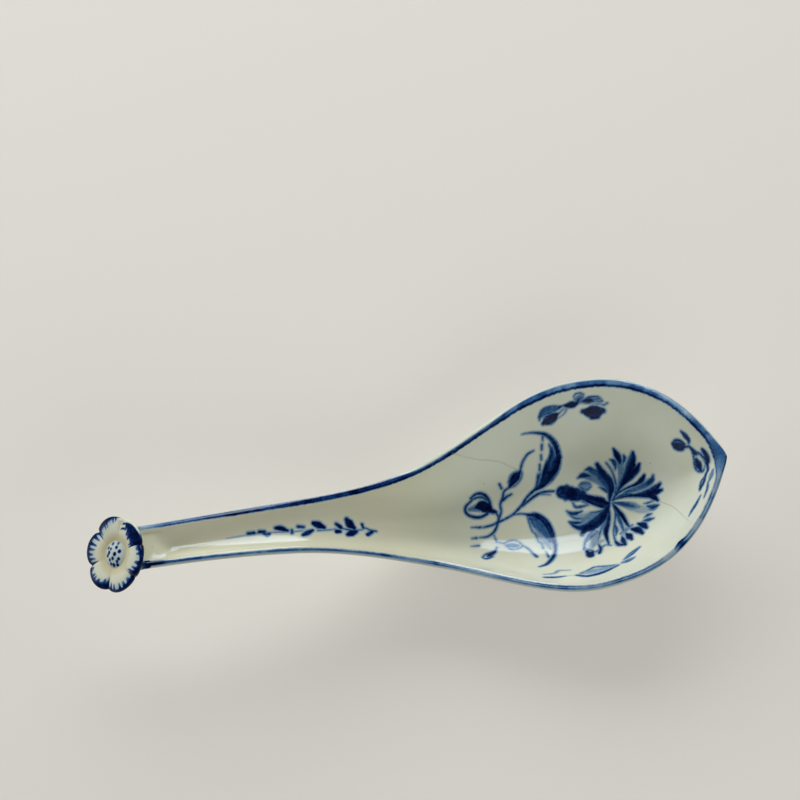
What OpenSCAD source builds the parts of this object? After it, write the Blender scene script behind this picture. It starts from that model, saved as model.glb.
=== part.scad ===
// Rice serving spoon in glazed porcelain. The bowl and the channelled handle are
// one thin pressing, and a flower of six dished petals sits on the bevelled end
// of the handle. Millimetres, Z up. X runs from the flower to the pointed lip.
// The spoon stands on the flat of its bowl at z = 0, with its footprint centred
// on the origin.

/* [Bowl] */
// Width over the rim at the widest place
bowl_width = 47.3; // [40:0.1:56]
// Depth inside, from the rim at the widest place to the floor
bowl_depth = 14; // [10:0.1:18]
// Length from the neck to the widest place
shoulder_length = 31.5; // [26:0.5:38]
// Length from the widest place to the pointed lip
nose_length = 31.5; // [26:0.5:38]
// Angle between the axis and the rim at the point of the lip
lip_angle = 65; // [52:1:76]
// Height of the lip's point above the rim at the widest place
lip_rise = 4.5; // [1:0.1:7]
// Half width of the flat floor, as a share of the bowl's half width
floor_share = 0.24; // [0.23:0.01:0.32]

/* [Handle] */
// Length from the neck to the bevelled end, along the upper edge
handle_length = 64.8; // [54:0.2:78]
// Width at the end
handle_width = 9.7; // [8.6:0.1:13]
// Width halfway along
grip_width = 11.9; // [10:0.1:15]
// Width over the rim at the neck
neck_width = 25.6; // [20:0.1:30]
// Height of the handle's end above the rim at the neck
handle_rise = 12.5; // [7:0.1:17]
// Drop of the rim from the widest place to the neck
neck_dip = 3.3; // [1:0.1:5]
// Depth of the channel along the handle
channel_depth = 2.3; // [1.4:0.1:3]
// Swelling of the underside where the handle meets the flower
end_swell = 2; // [1:0.1:2.6]

/* [Wall] */
// Thickness of the bowl's floor
floor_wall = 3; // [2:0.1:4]
// Thickness of the handle under its channel
handle_wall = 2.4; // [2:0.1:3.2]
// Thickness across the rim
rim_wall = 1.8; // [1.2:0.1:2.4]
// Height of the rounded bead along the rim
bead_height = 0.5; // [0.2:0.05:0.8]

/* [Flower] */
// Diameter over the petals' tips
flower_width = 16.8; // [14:0.1:20]
// Slope of the flower's axis above the level, facing out from the handle
flower_tilt = 47; // [35:1:60]
// Depth of the notch between two petals' tips
notch_depth = 1.1; // [0.6:0.1:2]
// Rise of a petal's tip above its root
petal_cup = 0.5; // [0.2:0.1:1.5]
// Bulge of a petal between its root and its tip
petal_bulge = 0.5; // [0.2:0.05:0.8]
// Fall of a petal's sides below its middle
petal_crown = 0.55; // [0.1:0.05:0.9]
// Thickness of a petal at its root
petal_root = 1.2; // [0.9:0.05:1.6]
// Thickness of a petal at its tip
petal_edge = 0.8; // [0.5:0.05:1.2]
// Cleft between two petals
petal_gap = 0.16; // [0.08:0.02:0.3]
// Diameter of the stamen boss in the middle
boss_width = 5.8; // [4.4:0.1:7]
// Height of the stamen boss
boss_height = 0.7; // [0.5:0.05:1.4]
// Height of the calyx between the handle's end and the petals
calyx_height = 1.4; // [0.9:0.1:2.2]

/* [Hidden] */
$fn = 48;
petal_count = 6;
porcelain = [0.89, 0.89, 0.84];
tinted = [0.80, 0.83, 0.84];
cobalt = [0.36, 0.46, 0.62];

// Steps of the loft: along the sides, round the nose, and from floor to rim.
side_steps = 54;
nose_steps = 16;
inner_steps = 11;
outer_steps = 9;
bead_steps = 3;

// Places along the spoon, counted from the neck. The handle changes from a channel
// to a solid bevelled end within its last stretch.
end_run = 0.25 * handle_length;
x_end = -handle_length;
x_grip = -handle_length / 2;
x_wide = shoulder_length;
x_lip = shoulder_length + nose_length;
x_floor = 0.36 * shoulder_length;
x_foot = 0.12 * shoulder_length;
x_focus = x_wide + 0.12 * nose_length;

// Heights of the rim at those places, and how steeply it runs there.
z_wide = floor_wall + bowl_depth;
z_neck = z_wide - neck_dip;
z_lip = z_wide + lip_rise;
z_end = z_neck + handle_rise;
z_grip = z_neck + 0.70 * handle_rise;
climb = -handle_rise / handle_length;
sweep = (lip_rise + neck_dip) / x_lip;

// Flare of the rim seen from above.
flare_end = 0.3 * (grip_width - handle_width) / handle_length;
flare_grip = 0.3 * (neck_width - grip_width) / handle_length;
flare_neck = 0.56 * (bowl_width - neck_width) / shoulder_length;

function smooth(a, b, x) =
    let (q = max(0, min(1, (x - a) / (b - a))))
    q * q * (3 - 2 * q);

// Cubic from (x0, v0) with slope m0 to (x1, v1) with slope m1.
function cubic(x, x0, v0, m0, x1, v1, m1) =
    let (h = x1 - x0, q = (x - x0) / h, q2 = q * q, q3 = q2 * q)
    (2 * q3 - 3 * q2 + 1) * v0 + (q3 - 2 * q2 + q) * h * m0
    + (3 * q2 - 2 * q3) * v1 + (q3 - q2) * h * m1;

function bezier(p, q) =
    pow(1 - q, 3) * p[0] + 3 * pow(1 - q, 2) * q * p[1]
    + 3 * (1 - q) * q * q * p[2] + pow(q, 3) * p[3];

// Half width over the rim on the handle and the shoulder.
function half_width(x) =
    let (end = handle_width / 2, grip = grip_width / 2)
    let (neck = neck_width / 2, wide = bowl_width / 2)
    x < x_grip ? cubic(x, x_end, end, flare_end, x_grip, grip, flare_grip) :
    x < 0 ? cubic(x, x_grip, grip, flare_grip, 0, neck, flare_neck) :
    cubic(x, 0, neck, flare_neck, x_wide, wide, 0);

// Height of the rim all along.
function rim_height(x) =
    x < x_grip ? cubic(x, x_end, z_end, 0.32 * climb, x_grip, z_grip, 1.16 * climb) :
    x < 0 ? cubic(x, x_grip, z_grip, 1.16 * climb, 0, z_neck, 0) :
    x < x_wide ? cubic(x, 0, z_neck, 0, x_wide, z_wide, 1.5 * sweep) :
    cubic(x, x_wide, z_wide, 1.5 * sweep, x_lip, z_lip, 0.64 * sweep);

// Height of the channel's bottom and of the bowl's floor.
function floor_height(x) =
    x < x_grip ? rim_height(x) - channel_depth :
    x < x_floor ? cubic(x, x_grip, z_grip - channel_depth, 1.16 * climb,
                        x_floor, floor_wall, 0) :
    floor_wall;

// Height of the underside. Its flat foot starts under the neck, where the wall is
// thickest, so that the spoon stands without tipping back.
function under_height(x) =
    x < x_grip ? rim_height(x) - channel_depth - handle_wall
                 - end_swell * smooth(x_end + end_run / 2, x_end, x) :
    x < x_foot ? cubic(x, x_grip, z_grip - channel_depth - handle_wall, 1.16 * climb,
                       x_foot, 0, 0) :
    0;

// Profile from floor to rim: a flat share, then an arc that ends at this angle. The
// underside is rounder on the handle than on the bowl.
inner_angle = 36;
bowl_angle = 36;
handle_angle = 70;
function arc_rise(q, flat, angle) =
    let (r = max(0, (q - flat) / (1 - flat)))
    (1 - sqrt(1 - pow(r * sin(angle), 2))) / (1 - cos(angle));

// Plan of the nose, from the widest place to the point of the lip, and the rounded
// plan that it eases into towards the floor.
nose_reach = 0.41 * nose_length;
nose_plan = [
    [x_wide, bowl_width / 2],
    [x_wide + 0.6 * nose_length, bowl_width / 2],
    [x_lip - nose_reach * cos(lip_angle), nose_reach * sin(lip_angle)],
    [x_lip, 0]];
round_lip = x_lip - 0.05 * nose_length;
round_plan = [
    [x_wide, bowl_width / 2],
    [x_wide + 0.55 * (round_lip - x_wide), bowl_width / 2],
    [round_lip, 0.55 * bowl_width / 2],
    [round_lip, 0]];

steps = side_steps + nose_steps;
function side_x(i) = x_end + (x_wide - x_end) * i / side_steps;
function nose_part(i) = (i - side_steps) / nose_steps;
function rim_at(i) =
    i <= side_steps ? [side_x(i), half_width(side_x(i))] :
    bezier(nose_plan, nose_part(i));
function aim_at(i, q) =
    i <= side_steps ? rim_at(i) :
    let (round = bezier(round_plan, nose_part(i)))
    round + (rim_at(i) - round) * q * q;
function spine_at(i) =
    i <= side_steps ? [side_x(i), 0] :
    [x_wide + (x_focus - x_wide) * nose_part(i), 0];

// The channel runs out to a shallow dip before the bevel.
last_dip = 0.1;
function channel_open(x) =
    last_dip + (1 - last_dip) * smooth(x_end + end_run / 8, x_end + end_run / 2, x);

// The section planes lean over towards the end, down to the bevel.
function lean(x) = tan(flower_tilt) * smooth(x_end + end_run, x_end, x);
function leaned(x, p, top) = [p[0] + (p[2] - top) * lean(x), p[1], p[2]];

// One side of a section, from the floor over the bead to the underside.
function half_section(i, side) =
    let (rim = rim_at(i), spine = spine_at(i), x = rim[0])
    let (top = rim_height(x), floor = floor_height(spine[0]))
    let (reach = norm(rim - spine), dir = (rim - spine) / reach)
    let (ease = i <= side_steps ? 1 : 1 - 0.7 * nose_part(i))
    let (flat = floor_share * smooth(x_grip, x_floor, spine[0]) * ease)
    let (round = handle_angle + (bowl_angle - handle_angle) * smooth(x_grip, x_floor, spine[0]))
    let (edge = top - bead_height, inside = 1 - rim_wall / reach)
    let (bed = edge - (edge - floor) * channel_open(x))
    concat(
        [for (j = [1:inner_steps])
            let (q = j / inner_steps, p = spine + (aim_at(i, q) - spine) * inside * q)
            leaned(x, [p[0], side * p[1], bed + (edge - bed) * arc_rise(q, flat, inner_angle)],
                   top)],
        [for (j = [1:bead_steps])
            let (a = 180 * j / (bead_steps + 1))
            let (p = spine + dir * (reach - rim_wall / 2 * (1 + cos(a))))
            leaned(x, [p[0], side * p[1], edge + bead_height * sin(a)], top)],
        [for (j = [0:outer_steps - 1])
            let (q = 1 - j / outer_steps, p = spine + (aim_at(i, q) - spine) * q)
            let (under = under_height(spine[0]))
            leaned(x, [p[0], side * p[1], under + (edge - under) * arc_rise(q, flat, round)],
                   top)]);

// The two points of a section on the spoon's middle plane.
function mid_point(i, inner) =
    let (x = rim_at(i)[0], spine = spine_at(i), top = rim_height(x))
    let (floor = floor_height(spine[0]), edge = top - bead_height)
    let (bed = edge - (edge - floor) * channel_open(x))
    leaned(x, [spine[0], 0, inner ? bed : under_height(spine[0])], top);

half_count = inner_steps + bead_steps + outer_steps;
ring_count = 2 * half_count + 2;
function ring(i) =
    let (left = half_section(i, -1))
    concat([mid_point(i, true)], half_section(i, 1), [mid_point(i, false)],
           [for (j = [half_count - 1:-1:0]) left[j]]);
function last_ring() =
    concat([mid_point(steps, true)], half_section(steps, 1), [mid_point(steps, false)]);

// The two halves of the last section meet on the middle plane.
function ring_index(i, j) =
    let (c = j % ring_count)
    i < steps ? i * ring_count + c :
    steps * ring_count + (c <= half_count + 1 ? c : ring_count - c);

body_points = concat([for (i = [0:steps - 1]) each ring(i)], last_ring());
body_faces = concat(
    [[for (j = [ring_count - 1:-1:0]) ring_index(0, j)]],
    [for (i = [0:steps - 1], j = [0:ring_count - 1])
        let (a = ring_index(i, j), b = ring_index(i, j + 1))
        let (c = ring_index(i + 1, j + 1), d = ring_index(i + 1, j))
        let (right = j > 0 && j <= half_count || j == ring_count - 1)
        each (right ? [[a, b, c], [a, c, d]] : [[a, b, d], [b, c, d]])]);

// The bevelled end: its slant height, and the middle of the seat on it.
bevel_height = channel_depth + handle_wall + end_swell;
bevel_slant = bevel_height / cos(flower_tilt);
seat_depth = 0.62 * bevel_height;
seat = [x_end - seat_depth * tan(flower_tilt), 0, z_end - seat_depth];

// Radii in the flower, from its axis.
tip_r = flower_width / 2;
notch_r = tip_r - notch_depth;
hub_r = 0.12 * tip_r;
seat_r = 0.56 * tip_r;
root_r = 1.07 * boss_width / 2;
calyx_r = min(0.36 * bevel_slant, 0.4 * handle_width);
petal_sweep = 180 / petal_count;
across = 8;
root_steps = 2;
blade_steps = 6;
petal_rows = root_steps + blade_steps;

function petal_tip(a) = notch_r + notch_depth * pow(1 - a * a, 0.6);
function petal_r(a, m, inner) =
    m <= root_steps ? hub_r + (inner - hub_r) * m / root_steps :
    inner + (petal_tip(a) - inner) * (m - root_steps) / blade_steps;
function petal_place(a, r, z) =
    let (turn = a * (petal_sweep - asin(petal_gap / 2 / r)))
    [r * cos(turn), r * sin(turn), z];
function petal_top(a, m) =
    let (r = petal_r(a, m, root_r), s = max(0, (r - root_r) / (tip_r - root_r)))
    let (rise = petal_cup * s * s + 4 * petal_bulge * s * (1 - s))
    petal_place(a, r, calyx_height + petal_root + rise - petal_crown * a * a * s);
function petal_under(a, m) =
    let (r = petal_r(a, m, seat_r), s = max(0, (r - seat_r) / (tip_r - seat_r)))
    let (rise = petal_cup + petal_root - petal_edge)
    petal_place(a, r, calyx_height + rise * s * s - petal_crown * a * a * s);

petal_points = concat(
    [for (m = [0:petal_rows], n = [0:across]) petal_top(2 * n / across - 1, m)],
    [for (m = [0:petal_rows], n = [0:across]) petal_under(2 * n / across - 1, m)]);
function top_index(m, n) = m * (across + 1) + n;
function under_index(m, n) = (petal_rows + 1) * (across + 1) + top_index(m, n);
petal_faces = concat(
    [for (m = [0:petal_rows - 1], n = [0:across - 1])
        let (a = top_index(m, n), b = top_index(m + 1, n))
        let (c = top_index(m + 1, n + 1), d = top_index(m, n + 1))
        each [[a, c, b], [a, d, c]]],
    [for (m = [0:petal_rows - 1], n = [0:across - 1])
        let (a = under_index(m, n), b = under_index(m + 1, n))
        let (c = under_index(m + 1, n + 1), d = under_index(m, n + 1))
        each [[a, b, c], [a, c, d]]],
    [for (m = [0:petal_rows - 1])
        each [[top_index(m, 0), top_index(m + 1, 0), under_index(m + 1, 0)],
              [top_index(m, 0), under_index(m + 1, 0), under_index(m, 0)],
              [top_index(m, across), under_index(m + 1, across), top_index(m + 1, across)],
              [top_index(m, across), under_index(m, across), under_index(m + 1, across)]]],
    [for (n = [0:across - 1])
        each [[top_index(petal_rows, n), top_index(petal_rows, n + 1),
               under_index(petal_rows, n + 1)],
              [top_index(petal_rows, n), under_index(petal_rows, n + 1),
               under_index(petal_rows, n)],
              [top_index(0, n), under_index(0, n + 1), top_index(0, n + 1)],
              [top_index(0, n), under_index(0, n), under_index(0, n + 1)]]]);
function petal_angle(k) = 90 + 2 * petal_sweep * (k - 1);

// The footprint is centred on the origin between the outermost petal and the lip.
flower_left = min([for (k = [1:petal_count], p = petal_points)
    (p[0] * cos(petal_angle(k)) - p[1] * sin(petal_angle(k))) * sin(flower_tilt)
    - p[2] * cos(flower_tilt)]);
shift = -(x_lip + seat[0] + flower_left) / 2;

module in_flower() {
    translate([shift, 0, 0])
        translate(seat)
            rotate([0, flower_tilt - 90, 0])
                children();
}

module petal(k) {
    color(tinted)
        in_flower()
            rotate([0, 0, petal_angle(k)])
                polyhedron(points = petal_points, faces = petal_faces, convexity = 4);
}

module spoon_body() {
    color(porcelain)
        translate([shift, 0, 0])
            polyhedron(points = body_points, faces = body_faces, convexity = 6);
}

module flower_calyx() {
    flare = [for (q = [0:0.125:1])
        [calyx_r + (seat_r - calyx_r) * q * q, calyx_height * q]];
    color(porcelain)
        in_flower()
            rotate_extrude()
                polygon(concat([[0, 0]], flare, [[0, calyx_height]]));
}

module flower_boss() {
    dome = [for (q = [1:-0.125:0])
        [boss_width / 2 * q, calyx_height + petal_root + boss_height * (1 - q * q)]];
    color(cobalt)
        in_flower()
            rotate_extrude()
                polygon(concat([[0, calyx_height + petal_root]], dome));
}

spoon_body();
flower_calyx();
petal(1);  // petal_1
petal(2);  // petal_2
petal(3);  // petal_3
petal(4);  // petal_4
petal(5);  // petal_5
petal(6);  // petal_6
flower_boss();
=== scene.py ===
import math

import bpy
import numpy as np
from bpy.props import FloatProperty, FloatVectorProperty, PointerProperty
from mathutils import Matrix, Vector
from mathutils.bvhtree import BVHTree


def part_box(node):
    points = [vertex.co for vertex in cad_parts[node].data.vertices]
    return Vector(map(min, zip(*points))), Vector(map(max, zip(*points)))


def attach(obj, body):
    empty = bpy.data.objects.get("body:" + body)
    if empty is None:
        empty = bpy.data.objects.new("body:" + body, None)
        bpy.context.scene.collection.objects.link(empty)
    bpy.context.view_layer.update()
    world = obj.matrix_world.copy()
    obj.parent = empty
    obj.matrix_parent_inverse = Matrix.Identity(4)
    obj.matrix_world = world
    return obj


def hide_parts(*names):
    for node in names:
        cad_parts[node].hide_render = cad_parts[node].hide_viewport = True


bl_info = {
    "name": "Rice Serving Spoon",
    "version": (1, 0, 0),
    "blender": (4, 5, 0),
    "location": "View3D > Sidebar > Spoon",
    "description": "Builds a porcelain rice serving spoon painted in blue under its glaze",
    "category": "Object",
}

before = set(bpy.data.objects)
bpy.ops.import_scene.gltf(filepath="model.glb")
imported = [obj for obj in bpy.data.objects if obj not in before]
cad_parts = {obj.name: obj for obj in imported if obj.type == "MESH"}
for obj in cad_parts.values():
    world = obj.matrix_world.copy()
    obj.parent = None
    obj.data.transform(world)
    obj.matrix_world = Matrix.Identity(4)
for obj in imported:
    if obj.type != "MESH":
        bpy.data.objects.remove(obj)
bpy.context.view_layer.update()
MM = 0.001
# Points of a seam closer than this, in metres, are merged, and edges sharper than this stay sharp
MERGE = 1e-6
SHARP_ANGLE = math.radians(40)
# Depth of the ripples in the glaze, in metres
RIPPLE_DEPTH = 0.00012
PETALS = ["petal_1", "petal_2", "petal_3", "petal_4", "petal_5", "petal_6"]


def length(name, millimetres, text):
    """A length property with its default in millimetres."""
    return FloatProperty(name=name, description=text, default=millimetres * MM,
                         precision=5, unit="LENGTH", subtype="DISTANCE")


def angle(name, degrees, text):
    """An angle property with its default in degrees."""
    return FloatProperty(name=name, description=text, default=math.radians(degrees),
                         unit="ROTATION", subtype="ANGLE")


def share(name, value, text, most=1.0):
    """A plain number property."""
    return FloatProperty(name=name, description=text, default=value, min=0.0, max=most)


def colour(name, red, green, blue, text):
    """A colour property. Its default is given in screen values from 0 to 255."""
    linear = [((c / 255 + 0.055) / 1.055) ** 2.4 if c > 10 else c / 255 / 12.92
              for c in (red, green, blue)]
    return FloatVectorProperty(name=name, description=text, default=linear, size=3,
                               min=0.0, max=1.0, subtype="COLOR")


class SpoonSizes(bpy.types.PropertyGroup):
    """Sizes of the bowl, the handle and their wall."""
    bowl_width: length("Bowl width", 47.3, "Width over the rim at the widest place")
    bowl_depth: length("Bowl depth", 14, "From the rim at the widest place to the floor")
    shoulder_length: length("Shoulder length", 31.5, "From the neck to the widest place")
    nose_length: length("Nose length", 31.5, "From the widest place to the pointed lip")
    lip_angle: angle("Lip angle", 65, "Between the axis and the rim at the lip's point")
    lip_round: length("Lip round", 0.8, "Rounding of the lip's point by the glaze")
    lip_rise: length("Lip rise", 4.5, "Height of the lip's point above the widest place")
    floor_share: share("Floor share", 0.24, "Flat part of the bowl's half width")
    handle_length: length("Handle length", 64.8, "From the neck to the bevelled end")
    handle_width: length("Handle width", 9.7, "Width at the end")
    grip_width: length("Grip width", 11.9, "Width halfway along the handle")
    neck_width: length("Neck width", 25.6, "Width over the rim at the neck")
    handle_rise: length("Handle rise", 12.5, "Height of the handle's end above the neck")
    neck_dip: length("Neck dip", 3.3, "Drop of the rim from the widest place to the neck")
    channel_depth: length("Channel depth", 2.3, "Depth of the channel along the handle")
    end_swell: length("End swell", 2, "Swelling where the handle meets the flower")
    floor_wall: length("Floor wall", 3, "Thickness of the bowl's floor")
    handle_wall: length("Handle wall", 2.4, "Thickness under the channel")
    rim_wall: length("Rim wall", 1.8, "Thickness across the rim")
    bead_height: length("Bead height", 0.5, "Height of the rounded bead along the rim")


class FlowerSizes(bpy.types.PropertyGroup):
    """Sizes of the flower on the handle's end."""
    width: length("Width", 16.8, "Diameter over the petals' tips")
    tilt: angle("Tilt", 47, "Slope of the flower's axis above the level")
    notch_depth: length("Notch depth", 1.1, "Depth of the notch between two tips")
    petal_cup: length("Petal cup", 0.5, "Rise of a petal's tip above its root")
    petal_bulge: length("Petal bulge", 0.5, "Bulge of a petal between its root and its tip")
    petal_crown: length("Petal crown", 0.55, "Fall of a petal's sides below its middle")
    petal_root: length("Petal root", 1.2, "Thickness of a petal at its root")
    petal_edge: length("Petal edge", 0.8, "Thickness of a petal at its tip")
    boss_width: length("Boss width", 5.8, "Diameter of the stamen boss")
    boss_height: length("Boss height", 0.7, "Height of the stamen boss")
    calyx_height: length("Calyx height", 1.4, "From the handle's end to the petals")


class GlazeColours(bpy.types.PropertyGroup):
    """Colours of the glazed porcelain and of the painting under its glaze."""
    glaze: colour("Glaze", 224, 230, 214, "Porcelain under its clear glaze")
    # Tan of glaze pooled thick. It is used at random, and also as painted shade in the flower's
    # hollows and as painted warm light towards the handle's end
    pooled: colour("Pooled glaze", 206, 199, 160, "Glaze where it has run thick")
    thin_wash: colour("Thin wash", 180, 194, 197, "Thinnest blue wash")
    wash: colour("Wash", 112, 148, 178, "Blue wash")
    light_blue: colour("Light blue", 54, 98, 148, "Thin blue")
    line_blue: colour("Line blue", 20, 56, 110, "Blue of a loaded brush line")
    deep_blue: colour("Deep blue", 6, 24, 74, "Blue where the paint lies thick")
    black_blue: colour("Black blue", 1, 8, 46, "Blue where strokes cross")
    crack: colour("Hairline", 150, 134, 104, "Stained hairline in the glaze")


class StageSettings(bpy.types.PropertyGroup):
    """Camera, light and floor."""
    azimuth: angle("Azimuth", -10, "Turn of the camera round the spoon")
    elevation: angle("Elevation", 72, "Height of the camera above the level")
    distance: length("Distance", 2000, "From the camera to the spoon")
    view_width: length("View width", 174, "Width of the picture at the spoon")
    aim_right: length("Aim right", -1.9, "Picture's middle, to the right of the origin")
    aim_up: length("Aim up", 30, "Picture's middle, above the origin")
    floor: colour("Floor", 226, 223, 215, "Plain pale floor")
    key_power: share("Key power", 3.9, "Watts of the soft box behind", most=50.0)
    side_power: share("Side power", 2.3, "Watts of the soft box on the flower's side", most=50.0)
    front_power: share("Front power", 2.1, "Watts of the soft box in front", most=50.0)
    streak_power: share("Streak power", 5.6, "Watts of the soft box seen in the glaze", most=50.0)
    sky: share("Sky", 0.04, "Strength of the even light from all round", most=5.0)


def smooth(start, end, x):
    """Eases from 0 at start to 1 at end."""
    q = np.clip((x - start) / (end - start), 0, 1)
    return q * q * (3 - 2 * q)


def cubic(x, x0, v0, m0, x1, v1, m1):
    """Cubic from (x0, v0) with slope m0 to (x1, v1) with slope m1."""
    h = x1 - x0
    q = (x - x0) / h
    return ((2 * q**3 - 3 * q**2 + 1) * v0 + (q**3 - 2 * q**2 + q) * h * m0
            + (3 * q**2 - 2 * q**3) * v1 + (q**3 - q**2) * h * m1)


def chain(x, *knots):
    """Cubics that join knots, each given as a place, a value and a slope."""
    pieces = [cubic(x, *first, *second) for first, second in zip(knots, knots[1:])]
    return np.select([x < knot[0] for knot in knots[1:-1]], pieces[:-1], pieces[-1])


def bezier(points, q):
    """Cubic Bezier curve through the first and last of four points."""
    a, b, c, d = np.array(points)
    q = q[:, None]
    return (1 - q)**3 * a + 3 * (1 - q)**2 * q * b + 3 * (1 - q) * q**2 * c + q**3 * d


def ripple(x, seed):
    """Smooth random curve between -1 and 1, with one turn or so for each unit of x."""
    def knot(i):
        return 2 * np.modf(np.abs(np.sin(i * 12.9898 + seed * 78.233) * 43758.5453))[0] - 1
    i = np.floor(x)
    return knot(i) + (knot(i + 1) - knot(i)) * smooth(0, 1, x - i)


class Loft:
    """The lofted body in millimetres. A place on it is along, from 0 at the bevelled end by
    1 at the widest place to 2 at the lip, and around, from 0 on the spine inside by 1 and 2
    at the rim's inner and outer edge to 3 on the spine outside, negative on the other side."""
    # Half the arc, in degrees, of the inside and of the outside at the bowl and at the handle
    INNER_ANGLE = 36
    BOWL_ANGLE = 36
    HANDLE_ANGLE = 70
    # Share of the channel's depth that is left at the bevelled end
    LAST_DIP = 0.1

    def __init__(self, sizes, tilt):
        for name in SpoonSizes.__annotations__:
            value = getattr(sizes, name)
            setattr(self, name, value if name in ("lip_angle", "floor_share") else value / MM)
        self.tilt = tilt
        self.end_run = 0.25 * self.handle_length
        self.x_end = -self.handle_length
        self.x_grip = -self.handle_length / 2
        self.x_wide = self.shoulder_length
        self.x_lip = self.shoulder_length + self.nose_length
        self.x_floor = 0.36 * self.shoulder_length
        self.x_foot = 0.12 * self.shoulder_length
        self.x_focus = self.x_wide + 0.12 * self.nose_length
        self.z_wide = self.floor_wall + self.bowl_depth
        self.z_neck = self.z_wide - self.neck_dip
        self.z_lip = self.z_wide + self.lip_rise
        self.z_end = self.z_neck + self.handle_rise
        self.z_grip = self.z_neck + 0.70 * self.handle_rise
        self.climb = -self.handle_rise / self.handle_length
        self.grip_climb = 1.16 * self.climb
        self.sweep = (self.lip_rise + self.neck_dip) / self.x_lip
        self.wide_sweep = 1.5 * self.sweep
        self.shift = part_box("spoon_body")[1].x / MM - self.x_lip

    def half_width(self, x):
        """From the axis to the rim's outer edge, up to the widest place."""
        end, grip = self.handle_width / 2, self.grip_width / 2
        neck, wide = self.neck_width / 2, self.bowl_width / 2
        flare_end = 0.6 * (grip - end) / self.handle_length
        flare_grip = 0.6 * (neck - grip) / self.handle_length
        flare_neck = 1.12 * (wide - neck) / self.shoulder_length
        return chain(x, (self.x_end, end, flare_end), (self.x_grip, grip, flare_grip),
                     (0, neck, flare_neck), (self.x_wide, wide, 0))

    def rim_height(self, x):
        """Height of the rim."""
        return chain(x, (self.x_end, self.z_end, 0.32 * self.climb),
                     (self.x_grip, self.z_grip, self.grip_climb), (0, self.z_neck, 0),
                     (self.x_wide, self.z_wide, self.wide_sweep),
                     (self.x_lip, self.z_lip, 0.64 * self.sweep))

    def floor_height(self, x):
        """Height of the spine inside."""
        bed = self.z_grip - self.channel_depth
        stem = cubic(x, self.x_grip, bed, self.grip_climb, self.x_floor, self.floor_wall, 0)
        tail = self.rim_height(x) - self.channel_depth
        return np.select([x < self.x_grip, x < self.x_floor], [tail, stem], self.floor_wall)

    def under_height(self, x):
        """Height of the spine outside."""
        swell = self.end_swell * smooth(self.x_end + self.end_run / 2, self.x_end, x)
        tail = self.rim_height(x) - self.channel_depth - self.handle_wall - swell
        bed = self.z_grip - self.channel_depth - self.handle_wall
        stem = cubic(x, self.x_grip, bed, self.grip_climb, self.x_foot, 0, 0)
        return np.select([x < self.x_grip, x < self.x_foot], [tail, stem], 0)

    def plans(self, along):
        """The rim's plan, the rounder plan low in the bowl, the spine, and how far along the
        nose each place is."""
        nose = np.clip(along - 1, 0, 1)
        x = self.x_end + (self.x_wide - self.x_end) * np.clip(along, 0, 1)
        half, lip, wide = self.bowl_width / 2, self.x_lip, self.x_wide
        reach = 0.41 * self.nose_length
        point = [lip - reach * math.cos(self.lip_angle), reach * math.sin(self.lip_angle)]
        rim = bezier([[wide, half], [wide + 0.6 * self.nose_length, half], point, [lip, 0]], nose)
        rim[:, 0] -= (np.hypot(rim[:, 1], self.lip_round) - rim[:, 1]) / math.tan(self.lip_angle)
        low = lip - 0.05 * self.nose_length
        soft = bezier([[wide, half], [wide + 0.55 * (low - wide), half], [low, 0.55 * half],
                       [low, 0]], nose)
        side = np.stack([x, self.half_width(x)], 1)
        on_nose = along > 1
        rim = np.where(on_nose[:, None], rim, side)
        soft = np.where(on_nose[:, None], soft, side)
        spine = np.where(on_nose, wide + (self.x_focus - wide) * nose, x)
        return rim, soft, np.stack([spine, 0 * spine], 1), nose

    def at(self, along, around):
        """Points of the body at these places."""
        rim, soft, spine, nose = self.plans(along)
        x, spine_x = rim[:, 0], spine[:, 0]
        top = self.rim_height(x)
        edge = top - self.bead_height
        under = self.under_height(spine_x)
        reach = np.linalg.norm(rim - spine, axis=1)
        blend = smooth(self.x_grip, self.x_floor, spine_x)
        flat = self.floor_share * blend * (1 - 0.7 * nose)
        open_share = smooth(self.x_end + self.end_run / 8, self.x_end + self.end_run / 2, x)
        channel = self.LAST_DIP + (1 - self.LAST_DIP) * open_share
        bed = edge - (edge - self.floor_height(spine_x)) * channel

        def rise(q, degrees):
            r = np.maximum(0, (q - flat) / (1 - flat))
            a = np.radians(degrees)
            return (1 - np.sqrt(1 - (r * np.sin(a))**2)) / (1 - np.cos(a))

        def spread(q, share):
            return spine + (soft + (rim - soft) * q[:, None]**2 - spine) * (share * q)[:, None]

        place = np.abs(around)
        inner_q, outer_q = np.clip(place, 0, 1), np.clip(3 - place, 0, 1)
        turn = math.pi * np.clip(place - 1, 0, 1)
        out = reach - self.rim_wall / 2 * (1 + np.cos(turn))
        outer_angle = self.HANDLE_ANGLE + (self.BOWL_ANGLE - self.HANDLE_ANGLE) * blend
        inside, bead = place <= 1, place < 2
        plan = np.select(
            [inside[:, None], bead[:, None]],
            [spread(inner_q, 1 - self.rim_wall / reach),
             spine + (rim - spine) * (out / reach)[:, None]],
            spread(outer_q, np.ones_like(reach)))
        z = np.select(
            [inside, bead],
            [bed + (edge - bed) * rise(inner_q, self.INNER_ANGLE),
             edge + self.bead_height * np.sin(turn)],
            under + (edge - under) * rise(outer_q, outer_angle))
        lean = math.tan(self.tilt) * smooth(self.x_end + self.end_run, self.x_end, x)
        side = np.where(around < 0, -1, 1)
        return np.stack([plan[:, 0] + (z - top) * lean + self.shift, side * plan[:, 1], z], 1)


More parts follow.
